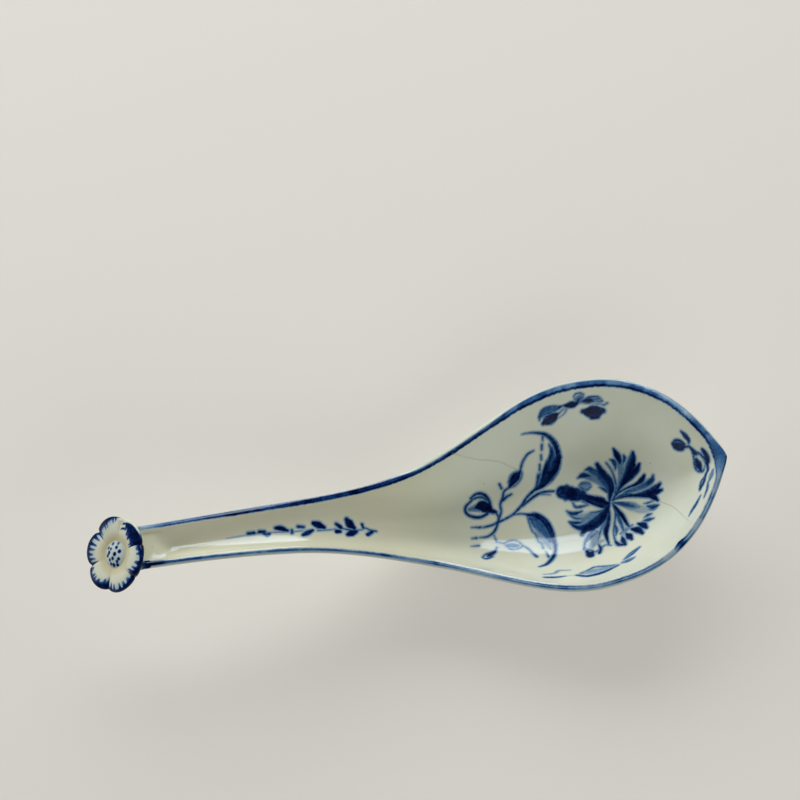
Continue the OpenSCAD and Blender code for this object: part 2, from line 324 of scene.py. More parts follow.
class Brush:
    """Lays blue paint on points of the spoon's inside. Strokes are given in plan, in
    millimetres, as touches of x from the neck towards the lip, y across the spoon and half
    the stroke's width."""
    # Step along a stroke, its least half width, softness of its edge, reach of its bleed and
    # breadth of a brush hair's streak
    STEP = 0.14
    LEAST = 0.04
    EDGE = 0.3
    BLEED = 0.6
    BRISTLE = 0.15
    # Tone of the bleed, load of a wash, and how much a line and a wash deepen where they cross
    BLEED_TONE = 0.28
    WASH_LOAD = 0.92
    LINE_DEEPENS = 0.15
    WASH_DEEPENS = 0.4
    # Height that the strokes fall from
    ABOVE = 99

    def __init__(self, points, tree, neck_x):
        self.points = points
        self.tree = tree
        self.neck_x = neck_x
        self.ink = np.zeros(len(points))
        self.hairline = np.zeros(len(points))
        self.near = np.zeros(len(points), bool)
        self.strokes = 0
        self.dry = 0.0

    def path(self, touches):
        """Points along a smooth curve through the touches, lifted on to the surface, and
        the half width at each."""
        touches = np.array(touches, float)
        touches[:, 0] += self.neck_x
        before = 2 * touches[0] - touches[1]
        after = 2 * touches[-1] - touches[-2]
        knots = np.vstack([before, touches, after])
        runs = []
        for a, b, c, d in zip(knots, knots[1:], knots[2:], knots[3:]):
            steps = max(2, math.ceil(np.linalg.norm(c[:2] - b[:2]) / self.STEP))
            q = np.linspace(0, 1, steps, endpoint=False)[:, None]
            runs.append(b + 0.5 * q * (c - a + q * (2 * a - 5 * b + 4 * c - d
                                                   + q * (3 * (b - c) + d - a))))
        line = np.vstack(runs + [touches[-1:]])
        width = np.maximum(self.LEAST, line[:, 2])
        for row in line:
            hit = self.tree.ray_cast(Vector((row[0], row[1], self.ABOVE)), Vector((0, 0, -1)))[0]
            if hit is None:
                raise RuntimeError(f"a stroke leaves the spoon at {row[:2]}")
            row[2] = hit.z
        return line, width

    def nearest(self, touches):
        """The points near a stroke, how far they lie to its left or, when negative, to its
        right, the stroke's half width beside them and how far along it they lie."""
        line, width = self.path(touches)
        margin = width.max() + self.BLEED
        low, high = line.min(0) - margin, line.max(0) + margin
        ids = np.flatnonzero(((self.points > low) & (self.points < high)).all(1))
        gaps = np.linalg.norm(self.points[ids, None] - line[None], axis=2)
        near = gaps.argmin(1)
        travel = np.gradient(line[:, :2], axis=0)
        offset = self.points[ids, :2] - line[near, :2]
        left = np.sign(travel[near, 0] * offset[:, 1] - travel[near, 1] * offset[:, 0])
        run = np.concatenate([[0], np.cumsum(np.linalg.norm(np.diff(line, axis=0), axis=1))])
        self.strokes += 1
        self.near[ids] |= gaps.min(1) < width[near] + self.BLEED
        return ids, left * gaps.min(1), width[near], run[near]

    def lay(self, ids, ink, deepens):
        """Adds ink, which deepens by this share where strokes cross."""
        under, over = self.ink[ids], np.clip(ink, 0, 1)
        most = np.maximum(under, over)
        self.ink[ids] = most + deepens * np.minimum(under, over) * (1 - most)

    def bristles(self, aside, run):
        """Streaks that the brush's hairs leave along a stroke, from 0 to 1."""
        wander = 0.6 * ripple(run / 1.7, 11)
        return 0.5 + 0.5 * ripple(aside / self.BRISTLE + wander, self.strokes)

    def line(self, tone, *touches, lean=0.0):
        """A stroke of the loaded brush, as dark as tone. It is streaked where it is broad,
        its edge bleeds a little into the glaze, and lean is the share of the paint that its
        right side lacks."""
        ids, aside, width, run = self.nearest(touches)
        across = aside / width
        beyond = np.abs(aside) - width
        dry = self.dry * smooth(0.15, 0.6, width) * (0.35 + 0.65 * smooth(0, 0.9, np.abs(across)))
        load = 1 - dry * self.bristles(aside, run)**2 + 0.05 * ripple(run / 0.7, self.strokes)
        load = load * (1 - lean * smooth(0.7, -0.9, across))
        ragged = 0.04 * ripple(run / 0.35, self.strokes + 31)
        stroke = load * smooth(self.EDGE, -self.EDGE, beyond - ragged)
        bleed = self.BLEED_TONE * smooth(self.BLEED, 0, beyond)
        self.lay(ids, tone * np.maximum(stroke, bleed), self.LINE_DEEPENS)

    def wash(self, tone, *touches, lean=0.0):
        """A thin stroke that fades towards its edges, and by lean towards its right side."""
        ids, aside, width, run = self.nearest(touches)
        across = aside / (width + 0.1)
        fade = smooth(0, 0.9, 1.2 - np.abs(across)) * (1 - lean * smooth(0.7, -0.9, across))
        streaked = 1 - 0.3 * self.bristles(aside, run)
        self.lay(ids, self.WASH_LOAD * tone * fade * streaked, self.WASH_DEEPENS)

    def crack(self, tone, *touches):
        """A stained hairline in the glaze."""
        ids, aside, width = self.nearest(touches)[:3]
        stain = tone * smooth(-0.15, 0.1, width - np.abs(aside))
        self.hairline[ids] = np.maximum(self.hairline[ids], stain)


def paint_carnation(brush):
    """The open carnation on the bowl's floor: its calyx and seven fringed petals."""
    line, wash = brush.line, brush.wash
    # Calyx
    line(0.88, (27.6, 3.5, 1.45), (28.3, 3.3, 1.85), (29.1, 3.1, 1.5))
    line(0.90, (29.5, 2.7, 1.48), (30.8, 2.4, 1.48), (31.6, 2.3, 0.98))
    line(1.00, (28.4, 3.1, 0.52), (29.3, 3.1, 1.22), (30.1, 2.7, 0.78))
    line(0.95, (31.6, 1.8, 0.74), (33.5, 0.7, 0.99), (35.1, -0.1, 1.21), (36.2, -0.7, 0.96),
         (37, -0.7, 0.3))
    line(1.00, (33.2, 1.1, 0.35), (35.5, -0.2, 0.65), (36.7, -0.7, 0.39))
    # Pale ground of the petals
    wash(0.26, (32.9, 6.6, 0.8), (34.6, 5.6, 1.3), (36.4, 4, 0.9), (37.3, 2.4, 0.3))
    wash(0.28, (40.4, 8.4, 0.9), (41, 6.5, 1.4), (40.6, 4.5, 0.9), (39.5, 2.2, 0.3))
    wash(0.30, (46.6, 1.8, 1), (44.2, 1.2, 1.2), (41.2, 0.8, 0.5), (39.4, 0.4, 0.2))
    wash(0.24, (45.2, -4.6, 0.6), (43.6, -3.9, 1.2), (41.4, -2.6, 1), (39.6, -1.5, 0.3))
    wash(0.24, (38.7, -9, 0.8), (38.9, -6.6, 0.9), (38.3, -3.6, 0.4))
    wash(0.26, (31.4, -9.9, 1), (32.9, -7.9, 1.3), (34.8, -5, 0.6))
    wash(0.28, (29.4, -2.7, 0.8), (31.4, -3, 1.4), (33.6, -2.9, 1.2), (35.6, -2.2, 0.4))
    # Upper left petal
    wash(0.72, (34.3, 7.3, 0.62), (35.8, 6.2, 0.95), (36.9, 4.5, 0.95), (37.5, 2.7, 0.62),
         (37.5, 1.2, 0.21))
    wash(0.42, (32.6, 6.4, 0.6), (34.2, 5.8, 1), (35.8, 4.6, 0.95), (37, 2.8, 0.4))
    line(1.00, (36, 8.2, 0.42), (36.7, 6.3, 0.8), (37.9, 4.3, 0.82), (38.1, 2.6, 0.76),
         (37.5, 0.8, 0.41), (37.1, -0.5, 0.12), lean=0.25)
    line(0.80, (31.3, 6.1, 0.1), (32.7, 6.5, 0.55), (34.1, 6.1, 0.2))
    line(0.68, (33.2, 7.5, 0.1), (34.3, 7.6, 0.45), (35.5, 7, 0.12))
    line(0.50, (31.4, 4.5, 0.13), (32.2, 4.8, 0.39), (33.4, 4.6, 0.37), (34, 4, 0.11))
    line(0.50, (31.5, 4.3, 0.13), (32, 3.5, 0.36), (32.9, 3.2, 0.35), (33.9, 3.7, 0.11))
    wash(0.34, (31.8, 4.2, 0.8), (33.4, 4, 0.6))
    line(0.78, (35.6, 3.3, 0.09), (36.4, 2.7, 0.3), (37.1, 1.8, 0.13))
    # Top petal
    wash(0.40, (40.7, 7.8, 0.7), (40.9, 6.1, 0.9), (40.5, 4.4, 0.6), (39.5, 2.1, 0.2))
    wash(0.55, (42.6, 6.8, 0.35), (41.8, 5.1, 0.47), (40.7, 3.5, 0.34), (39.4, 1.9, 0.11))
    line(0.70, (38, 8.1, 0.17), (38.8, 6.5, 0.21), (39.2, 4.7, 0.21), (39.2, 2.6, 0.19),
         (38.4, 0.6, 0.13), (37.7, -0.3, 0.08))
    line(0.72, (38.9, 8.5, 0.13), (39.6, 8, 0.49), (39.8, 6.8, 0.3), (39.6, 6.2, 0.08))
    line(0.94, (40, 10.4, 0.22), (40.5, 9.1, 0.65), (40.9, 7.9, 0.54), (40.9, 7.2, 0.13))
    line(0.75, (41.9, 8.7, 0.13), (42, 8, 0.37), (41.5, 7, 0.13))
    line(1.00, (43.9, 8.6, 0.31), (43.6, 7.5, 0.85), (42.7, 5.9, 0.95), (41.5, 4.3, 0.65),
         (40.2, 2.6, 0.36), (38.8, 1, 0.17), (37.9, -0.3, 0.08), lean=0.4)
    line(0.98, (43.8, 6.2, 0.4), (42.7, 4.9, 0.7), (41.3, 3.6, 0.5), (39.9, 2.2, 0.2))
    line(0.98, (44.9, 6, 0.26), (44.1, 5, 0.69), (42.5, 3.9, 0.64), (40.9, 2.9, 0.32),
         (39.4, 1.7, 0.11))
    # Right upper petal
    wash(0.42, (46.3, 1.4, 0.9), (43.5, 1.2, 0.85), (40.7, 0.9, 0.45))
    wash(0.70, (41.9, 0.2, 0.3), (40.2, 0.4, 0.39), (38.2, 0, 0.17))
    line(0.95, (45.5, 3.4, 0.27), (44.9, 2.7, 0.59), (43.5, 2.1, 0.34), (41.3, 1.8, 0.19),
         (39.5, 1.2, 0.17), (38, 0, 0.09))
    line(0.66, (47.3, 2.7, 0.29), (46.9, 1.9, 0.6), (45.9, 1.5, 0.55))
    wash(0.56, (46.4, 1.6, 0.7), (44.8, 1.2, 0.7), (42.9, 1, 0.4), (41, 1, 0.2))
    line(1.00, (48.4, 0.5, 0.33), (47.1, -0.3, 0.95), (45.5, -0.6, 0.95), (43.4, -0.3, 0.5),
         (41.2, 0.1, 0.3), (39.1, 0.1, 0.19), (37.8, -0.3, 0.09), lean=0.3)
    line(1.00, (48.5, -1, 0.34), (47.1, -1, 0.75), (45.6, -1, 0.7), (44.2, -0.7, 0.3))
    line(1.00, (47.3, -3, 0.29), (46.7, -2, 0.66), (45.8, -1.3, 0.42))
    # Right lower petal
    wash(0.38, (38.3, -0.9, 0.2), (40.2, -1.7, 0.8), (42, -2.5, 1), (43.2, -3.1, 0.4))
    wash(0.54, (38.2, -0.8, 0.15), (39.8, -1.4, 0.55), (41.4, -2.1, 0.65), (42.4, -2.7, 0.2))
    wash(0.66, (38.1, -0.7, 0.12), (39.5, -1.2, 0.4), (41, -1.9, 0.45))
    line(0.60, (44.4, -2.7, 0.09), (45.2, -2.8, 0.24), (46.4, -2.8, 0.12))
    line(0.76, (47.2, -4.2, 0.21), (46.1, -4.1, 0.61), (44.9, -3.5, 0.14))
    line(0.50, (44.9, -4.2, 0.09), (45.9, -4.8, 0.25), (46.8, -4.7, 0.11))
    line(0.62, (45.4, -5.7, 0.17), (44.6, -5.7, 0.42), (43.8, -6, 0.11))
    line(0.68, (45.6, -7, 0.17), (44.4, -6.9, 0.54), (43.4, -6.7, 0.16))
    # Lower right petal
    wash(0.62, (37.8, -1.3, 0.17), (38.3, -3.4, 0.41), (38.7, -5.8, 0.46), (38.9, -7.8, 0.17))
    wash(0.40, (38.2, -8.4, 0.38), (39.4, -7.8, 0.66), (41, -7, 0.39))
    line(1.00, (37.8, -0.9, 0.13), (38.6, -2.6, 0.37), (39.4, -4.3, 0.43), (40, -6.5, 0.29),
         (40.4, -7.3, 0.1))
    line(0.70, (38, -1.3, 0.12), (38, -3.3, 0.19), (37.4, -5.5, 0.19), (36.8, -7.5, 0.17),
         (36.7, -9.5, 0.17), (37.1, -11, 0.11))
    line(1.00, (43.8, -8.8, 0.35), (43.2, -7.8, 0.77), (42.2, -7, 0.19))
    line(1.00, (42.7, -9.9, 0.36), (41.9, -8.6, 0.85), (40.7, -7.9, 0.3))
    line(1.00, (40.2, -10.6, 0.3), (39.8, -9.6, 0.78), (39.3, -8.7, 0.17))
    line(0.97, (38.6, -11.6, 0.29), (38.4, -10.3, 0.56), (38.3, -9.3, 0.12))
    line(0.88, (36.7, -10, 0.18), (37.2, -11, 0.46), (38.3, -11.5, 0.25))
    line(0.66, (37.4, -5.8, 0.12), (37.5, -7.2, 0.4), (37.1, -8.5, 0.09))
    # Bottom petal
    wash(0.52, (36.1, -3.2, 0.21), (35.2, -5.5, 0.5), (34.7, -7.5, 0.25))
    wash(0.70, (33.1, -6.6, 0.49), (31.8, -7.4, 0.59), (30.7, -8.5, 0.23))
    wash(0.28, (32.2, -9.6, 0.53), (34.1, -9.1, 0.53))
    line(0.92, (36.7, -1.3, 0.14), (36.6, -3.2, 0.29), (36, -5.2, 0.44), (35.2, -7.1, 0.49),
         (35.1, -8.6, 0.33), (35.2, -10.5, 0.15))
    line(0.78, (36.4, -1.4, 0.1), (35.3, -3.7, 0.25), (33.8, -5.2, 0.26), (31.8, -6.8, 0.22),
         (30.5, -8.3, 0.19), (29.7, -10.4, 0.13))
    line(0.60, (35.6, -4.2, 0.08), (34.1, -6.6, 0.19), (33.1, -8.9, 0.11))
    line(1.00, (30.2, -10.9, 0.23), (30.8, -12.2, 0.81), (31.4, -11.5, 0.31))
    line(0.92, (32.8, -12.1, 0.35), (33.3, -11.1, 0.32), (33, -9.7, 0.08))
    line(0.55, (29.9, -10.1, 0.16), (31.1, -10.9, 0.22), (32.2, -11.6, 0.25), (34.3, -10.4, 0.23),
         (35.6, -10.8, 0.15))
    # Lower left petal
    wash(0.60, (36, -2.1, 0.4), (34.2, -3, 0.9), (32.5, -4, 0.9), (30.7, -4.6, 0.5), lean=0.5)
    wash(0.38, (32.6, -2.5, 0.6), (31.1, -3.4, 0.55), (29.9, -4.3, 0.21))
    line(1.00, (37.1, -0.9, 0.17), (35.9, -2.5, 0.8), (34.4, -4, 1.08), (32.5, -5, 1.1),
         (30.6, -5.3, 0.78), (28.8, -4.6, 0.34), (27.8, -3.4, 0.13), lean=0.2)
    line(1.00, (30, -6.7, 0.4), (30.9, -5.6, 0.75))
    line(0.84, (27.7, -0.9, 0.13), (28.9, -1.7, 0.46), (30.9, -1.5, 0.13))
    line(0.64, (27.8, -1.5, 0.09), (29.2, -2.8, 0.22), (30.9, -3.2, 0.09))
    line(0.80, (27.8, -3.4, 0.13), (29, -3.8, 0.37), (30.5, -4, 0.11))
    line(0.68, (29.3, 0.8, 0.13), (29.8, -0.3, 0.28), (31.3, -0.4, 0.26), (32.4, -0.3, 0.09))
    line(0.52, (31, 1, 0.09), (32, 0.2, 0.19), (32.6, -0.4, 0.09))
    line(0.62, (32.5, -2.1, 0.09), (34.3, -2.2, 0.24), (35.9, -2, 0.13))


def paint_leaves(brush):
    """The carnation's stem and the two leaves on it."""
    line, wash = brush.line, brush.wash
    # Stems
    line(0.86, (21.8, 5.2, 0.26), (19.8, 3.8, 0.24), (18.2, 2.1, 0.24), (16, 0.4, 0.22),
         (13.9, -0.4, 0.2), (12.5, -0.8, 0.2))
    line(0.86, (25.7, 4.1, 0.16), (23.4, 4.3, 0.22), (21.6, 3.8, 0.27), (19.6, 2.7, 0.22),
         (18.4, 1.9, 0.15))
    line(0.55, (24.8, 3.4, 0.07), (23.3, 3.8, 0.13), (21.9, 3.9, 0.09))
    line(0.86, (12.5, -0.8, 0.2), (11.1, -1.2, 0.2), (9.2, -1.4, 0.18))
    line(0.80, (8.6, -1.3, 0.18), (8.1, -1.3, 0.18))
    line(0.72, (7.7, -1.2, 0.16), (6.6, -1.1, 0.07))
    # Upper leaf
    line(0.93, (20.7, 16.1, 0.05), (22.4, 16.2, 0.15), (24.4, 16, 0.26), (26, 15.5, 0.4),
         (27.3, 14.3, 0.54), (27.9, 12.8, 0.58), (28, 11.3, 0.58))
    line(1.00, (28, 11.3, 0.58), (26.9, 9.4, 1.15), (25, 7.4, 1.25), (23.2, 5.9, 0.74),
         (21.7, 5.1, 0.26), lean=0.35)
    line(0.86, (26.4, 13.8, 0.11), (26.6, 12, 0.32), (25, 9.3, 0.56), (23.5, 6.7, 0.34))
    line(0.90, (25.3, 10.7, 0.11), (24.6, 8.9, 0.36), (23.6, 7, 0.17))
    line(0.62, (23.7, 8.8, 0.11), (22.9, 7.3, 0.28), (22.1, 5.6, 0.15))
    wash(0.74, (26.8, 13, 0.4), (26.5, 11, 1), (25.1, 8.8, 1), (23.4, 6.6, 0.5))
    line(0.97, (28.5, 11, 0.17), (27.4, 10.1, 0.56))
    line(0.97, (27.6, 8.8, 0.17), (26.5, 8.2, 0.51))
    line(0.78, (25.2, 15.2, 0.18), (25.1, 14.6, 0.13))
    line(0.78, (24.8, 13.9, 0.2), (24.6, 13, 0.2))
    line(0.72, (24.3, 12, 0.17), (24.2, 11.1, 0.17))
    line(0.72, (23.7, 10.2, 0.15), (23.5, 9.1, 0.19))
    line(0.78, (23, 8.3, 0.17), (22.6, 6.9, 0.23), (22, 5.5, 0.17))
    # Lower leaf
    line(0.72, (16, 0.3, 0.13), (17.5, 0.3, 0.18), (19.1, -0.1, 0.18))
    wash(0.72, (19.5, -1, 0.44), (21, -2.9, 1.1), (22.1, -4.8, 1), (22.9, -6.9, 0.5))
    wash(0.30, (20.3, -3.4, 0.5), (21.3, -5.6, 1), (22.2, -7.6, 0.8), (22.7, -8.9, 0.3))
    line(1.00, (19.2, -0.3, 0.31), (20.7, -0.9, 0.9), (22.2, -2.5, 1.1), (23.1, -4.7, 0.95),
         (23.6, -7.2, 0.56), (23.8, -8.2, 0.37), lean=0.35)
    line(0.94, (23.8, -8, 0.36), (23.5, -9.7, 0.28), (22.6, -11.4, 0.44), (21, -12.9, 0.35),
         (19.3, -13.4, 0.12))
    line(0.70, (19.6, -1.1, 0.17), (20, -2.8, 0.26), (20.7, -3.8, 0.11))
    line(0.66, (19, -0.3, 0.15), (19.2, -2.2, 0.17), (19.5, -4, 0.17), (20.1, -4.9, 0.15),
         (20.4, -6.6, 0.15), (21, -7.3, 0.13), (21.1, -8.5, 0.09))
    line(0.66, (21.5, -9.5, 0.09), (21.8, -10.9, 0.24))


def paint_buds(brush):
    """The side bud, the round bud, the pale bud and the stems between them. The pale bud's strokes
    are laid light as a painted highlight of the glaze's reflection streak.
    """
    line, wash = brush.line, brush.wash
    # Side bud
    line(0.98, (19.3, 9.5, 0.09), (18.1, 8.5, 0.94), (17, 7.4, 0.6), (16.2, 6.5, 0.13))
    line(0.68, (16.3, 7.6, 0.13), (17.1, 9, 0.13), (18.7, 9.6, 0.11), (19.5, 9.3, 0.13),
         (19.2, 8.1, 0.13), (17.8, 6.8, 0.13), (16.4, 6.5, 0.13))
    line(0.82, (19.3, 9.6, 0.17), (19.7, 10.6, 0.22), (20.3, 11.5, 0.2), (21.4, 12.5, 0.21),
         (22.8, 13, 0.11))
    line(0.82, (16.2, 6.5, 0.15), (15, 5.8, 0.19), (14.5, 4.5, 0.24), (13.7, 3.1, 0.21),
         (13.6, 1.5, 0.19), (12.9, 0, 0.19), (12.5, -0.8, 0.19))
    line(0.92, (14.5, 4, 0.24), (15.4, 4.6, 0.24), (16.5, 5, 0.13))
    line(0.86, (14.3, 7.5, 0.17), (14.6, 6.6, 0.19))
    # Round bud
    wash(0.55, (6.9, 3, 0.53), (8.5, 3.2, 1.08), (9.7, 3.1, 1.26))
    line(0.92, (11.5, 2.5, 0.28), (11.4, 4.6, 0.3), (10.5, 5.9, 0.3), (9, 6.2, 0.24),
         (7.6, 5.4, 0.17))
    line(0.80, (11.1, 4.5, 0.22), (9.9, 5.4, 0.22), (8.4, 5.3, 0.19), (7.6, 4.9, 0.13))
    line(0.90, (7.6, 4.9, 0.17), (6.1, 3.6, 0.24), (6.1, 2.2, 0.27), (7.3, 1.3, 0.32),
         (8.9, 1, 0.31), (10.5, 1.5, 0.27))
    line(1.00, (8.4, 3.3, 0.36), (9.7, 3.4, 1.27), (10.7, 2.8, 1.12))
    line(0.98, (11.1, 2.2, 0.54), (12, 1.8, 0.51), (12.5, 1.6, 0.27))
    line(0.84, (12.5, 1.4, 0.19), (12.8, 0.3, 0.19), (12.5, -0.8, 0.17))
    # Lower stems
    line(0.86, (12.5, -0.8, 0.21), (11.7, -2.3, 0.24), (10.8, -3.1, 0.22), (9.6, -3.6, 0.16),
         (8, -3.6, 0.07))
    line(0.70, (7.2, -3.6, 0.23), (6.3, -3.6, 0.12))
    line(0.60, (11.1, -3.5, 0.13), (11.4, -4.9, 0.13))
    line(0.72, (11.2, -6.5, 0.13), (10.7, -7.4, 0.21), (10, -8.2, 0.23))
    line(0.92, (10.5, -7.6, 0.4), (9.3, -8.3, 0.58), (8.7, -8.7, 0.13))
    line(0.76, (10.3, -7.6, 0.18), (8.7, -7.9, 0.23), (7.7, -8.8, 0.18), (8.4, -9.3, 0.32),
         (9.8, -8.8, 0.22))
    line(0.60, (7.4, -5.5, 0.22), (5.8, -5.5, 0.11))
    # Pale bud: real blue strokes, laid light as a painted highlight where the glaze's reflection
    # streak crosses them
    line(0.50, (11.4, -5.2, 0.12), (12.9, -5.8, 0.15))
    line(0.52, (12.9, -5.8, 0.17), (14.3, -5.4, 0.16), (15.8, -5.7, 0.16), (16.7, -7, 0.15),
         (15.7, -7.6, 0.19), (14, -7.4, 0.19), (12.9, -5.8, 0.16))
    wash(0.50, (13.8, -6.4, 0.51), (14.9, -6.7, 0.66), (15.9, -6.9, 0.31))
    line(0.64, (16.8, -7, 0.12), (17.9, -8.1, 0.18), (18.6, -9.3, 0.21), (19.3, -10.4, 0.31))


def paint_wall_sprigs(brush):
    """The three small sprigs up the bowl's walls."""
    line, wash = brush.line, brush.wash
    # Near wall sprig
    line(0.72, (19.7, -17.2, 0.32), (22, -17.5, 0.5), (24.3, -17.5, 0.15))
    line(0.32, (19.7, -16.1, 0.14), (22, -16.1, 0.4), (23.2, -15.4, 0.36), (25.7, -15.7, 0.14))
    line(0.28, (24.3, -17.5, 0.12), (26.7, -17.7, 0.12))
    wash(0.36, (27.6, -17.4, 0.5), (29.9, -17.3, 1.3), (32.5, -17.2, 1.1), (35, -17.1, 0.3))
    line(0.82, (26.7, -17.7, 0.3), (28.9, -18.6, 0.55), (32.3, -18.3, 0.6), (35.9, -17.2, 0.2))
    line(0.58, (27.6, -17.2, 0.2), (29.4, -16.6, 0.25), (31, -16, 0.3), (33, -16.4, 0.3),
         (35.6, -16.9, 0.2))
    line(0.46, (36.7, -16.6, 0.2), (38.1, -16.4, 0.6), (39.7, -16, 0.15))
    line(0.76, (36.9, -16.8, 0.12), (38.3, -16.8, 0.22), (39.5, -16.3, 0.1))
    wash(0.45, (38.4, -15.1, 0.4), (40.4, -14, 0.4))
    line(0.82, (37.4, -15.8, 0.15), (39.4, -14.9, 0.24), (41.3, -13.5, 0.15))
    line(0.72, (37.7, -15.5, 0.12), (39.1, -14.4, 0.2), (41.2, -13.4, 0.12))
    # Far wall sprig
    wash(0.80, (25.2, 18.6, 0.6), (26.3, 19.3, 1.25), (27.8, 19.4, 1.1), (29.1, 19.5, 0.55),
         (30.2, 19.7, 0.1))
    line(0.78, (25, 18.1, 0.15), (25.2, 18.9, 0.22), (26, 19.7, 0.28), (27.8, 20, 0.22),
         (29.7, 19.8, 0.18), (30.6, 19.8, 0.1))
    line(1.00, (25.8, 17.5, 0.5), (26.6, 17.8, 1.25), (27.8, 18.2, 1.2), (28.8, 18.6, 0.55),
         (29.3, 18.7, 0.1))
    line(0.55, (29, 18, 0.08), (30.2, 18.4, 0.13), (31, 19, 0.13), (31.2, 19.4, 0.07))
    wash(0.34, (29.4, 18.8, 0.36), (30.5, 19.3, 0.36))
    line(1.00, (30.5, 19.8, 0.15), (31.6, 19.7, 0.68), (32.6, 19.7, 0.88), (33.4, 19.7, 0.4))
    wash(0.62, (33.9, 20.3, 0.88), (34.3, 20.5, 0.87))
    line(0.68, (33, 20.8, 0.13), (33.4, 21.1, 0.19), (34.3, 21.1, 0.24), (35, 20.8, 0.15))
    line(0.66, (33, 20.8, 0.1), (33.2, 20.3, 0.16), (33.7, 19.9, 0.3), (34.5, 19.9, 0.18),
         (35, 20.3, 0.12), (35.1, 20.8, 0.1))
    line(0.90, (33.7, 19.9, 0.26), (33.9, 20.2, 0.32))
    line(1.00, (34.7, 19.8, 0.16), (35.7, 19.7, 0.52), (36.4, 19.6, 0.62), (36.7, 19.5, 0.34))
    line(0.84, (35, 19.9, 0.14), (35.9, 20.1, 0.22), (37.1, 20, 0.24), (38.2, 19.7, 0.2),
         (38.9, 19, 0.1))
    line(0.78, (34.9, 19.6, 0.15), (36.6, 19.3, 0.16), (38.1, 19, 0.15), (39, 18.9, 0.1))
    wash(0.58, (36.8, 19.6, 0.49), (38.1, 19.4, 0.4))
    line(0.52, (33.8, 19.7, 0.11), (35.6, 19.3, 0.13), (38, 18.7, 0.14), (39.2, 18.3, 0.24),
         (39.9, 18.4, 0.22))
    line(1.00, (34.7, 18.2, 0.6), (35.7, 17.9, 1.3), (36.8, 17.7, 1.7), (37.8, 17.6, 1.45),
         (38.6, 17.5, 0.8))
    line(1.00, (36.3, 16.9, 0.5), (37.7, 16.6, 0.25))
    # Lip sprig
    line(0.85, (53.1, 6.4, 0.89), (54, 5.8, 0.8))
    line(0.92, (52.3, 7.1, 0.26), (52.9, 7.4, 0.28), (53.9, 6.8, 0.32), (54.6, 5.8, 0.26))
    line(0.96, (52.3, 7, 0.33), (52.7, 6.1, 0.43), (53.8, 5.3, 0.38), (54.6, 5.4, 0.22))
    line(0.90, (54.7, 5.3, 0.23), (55.4, 5, 0.23), (55.9, 4.2, 0.44), (56.2, 3.5, 0.65),
         (56.6, 3, 0.45))
    line(0.86, (54.3, 8.3, 0.3), (54.9, 7.3, 0.66), (55.4, 6.3, 0.6), (55.4, 5.5, 0.13))
    line(0.62, (55.4, 5.7, 0.13), (55.3, 5.1, 0.13))
    line(1.00, (56.5, 1.8, 0.49), (56.7, 0.9, 0.97), (56.9, 0.2, 0.73), (57, -0.8, 0.27))
    line(0.86, (56, 4, 0.27), (56, 2.4, 0.22), (56, 0.7, 0.26), (56.4, -0.5, 0.19),
         (57.3, -1.1, 0.26), (57.6, -0.9, 0.17))
    line(0.76, (56.6, 3.3, 0.28), (57.4, 2.5, 0.31), (58, 1.1, 0.27), (58.1, 0.2, 0.17),
         (57.5, -0.8, 0.15))
    line(0.88, (57.9, 3.1, 0.4), (58.4, 2, 0.76), (58.6, 0.8, 0.78), (58.4, -0.2, 0.42))
    line(0.90, (58.4, -0.1, 0.32), (58.3, -1.4, 0.38), (57.7, -2.3, 0.33), (57.3, -3.3, 0.23))
    line(0.86, (57.6, -2.3, 0.26), (57.1, -3.7, 0.42), (56.3, -4.7, 0.43), (55.9, -5.3, 0.29))
    line(0.80, (57.5, -2.6, 0.2), (56.5, -3.4, 0.27), (55.9, -4.9, 0.31))
    wash(0.34, (57, -3.6, 0.55), (56.2, -4.6, 0.49))
    wash(0.52, (59.1, -2.4, 0.66), (58.6, -3.4, 1.22), (58.1, -4.2, 0.63))
    line(0.66, (57.7, -4.6, 0.27), (57.1, -6.4, 0.47), (56.2, -7.9, 0.28))
    line(0.70, (55.6, -7, 0.24), (54.4, -8.5, 0.55), (53.3, -9.6, 0.47), (52.5, -10.6, 0.16))


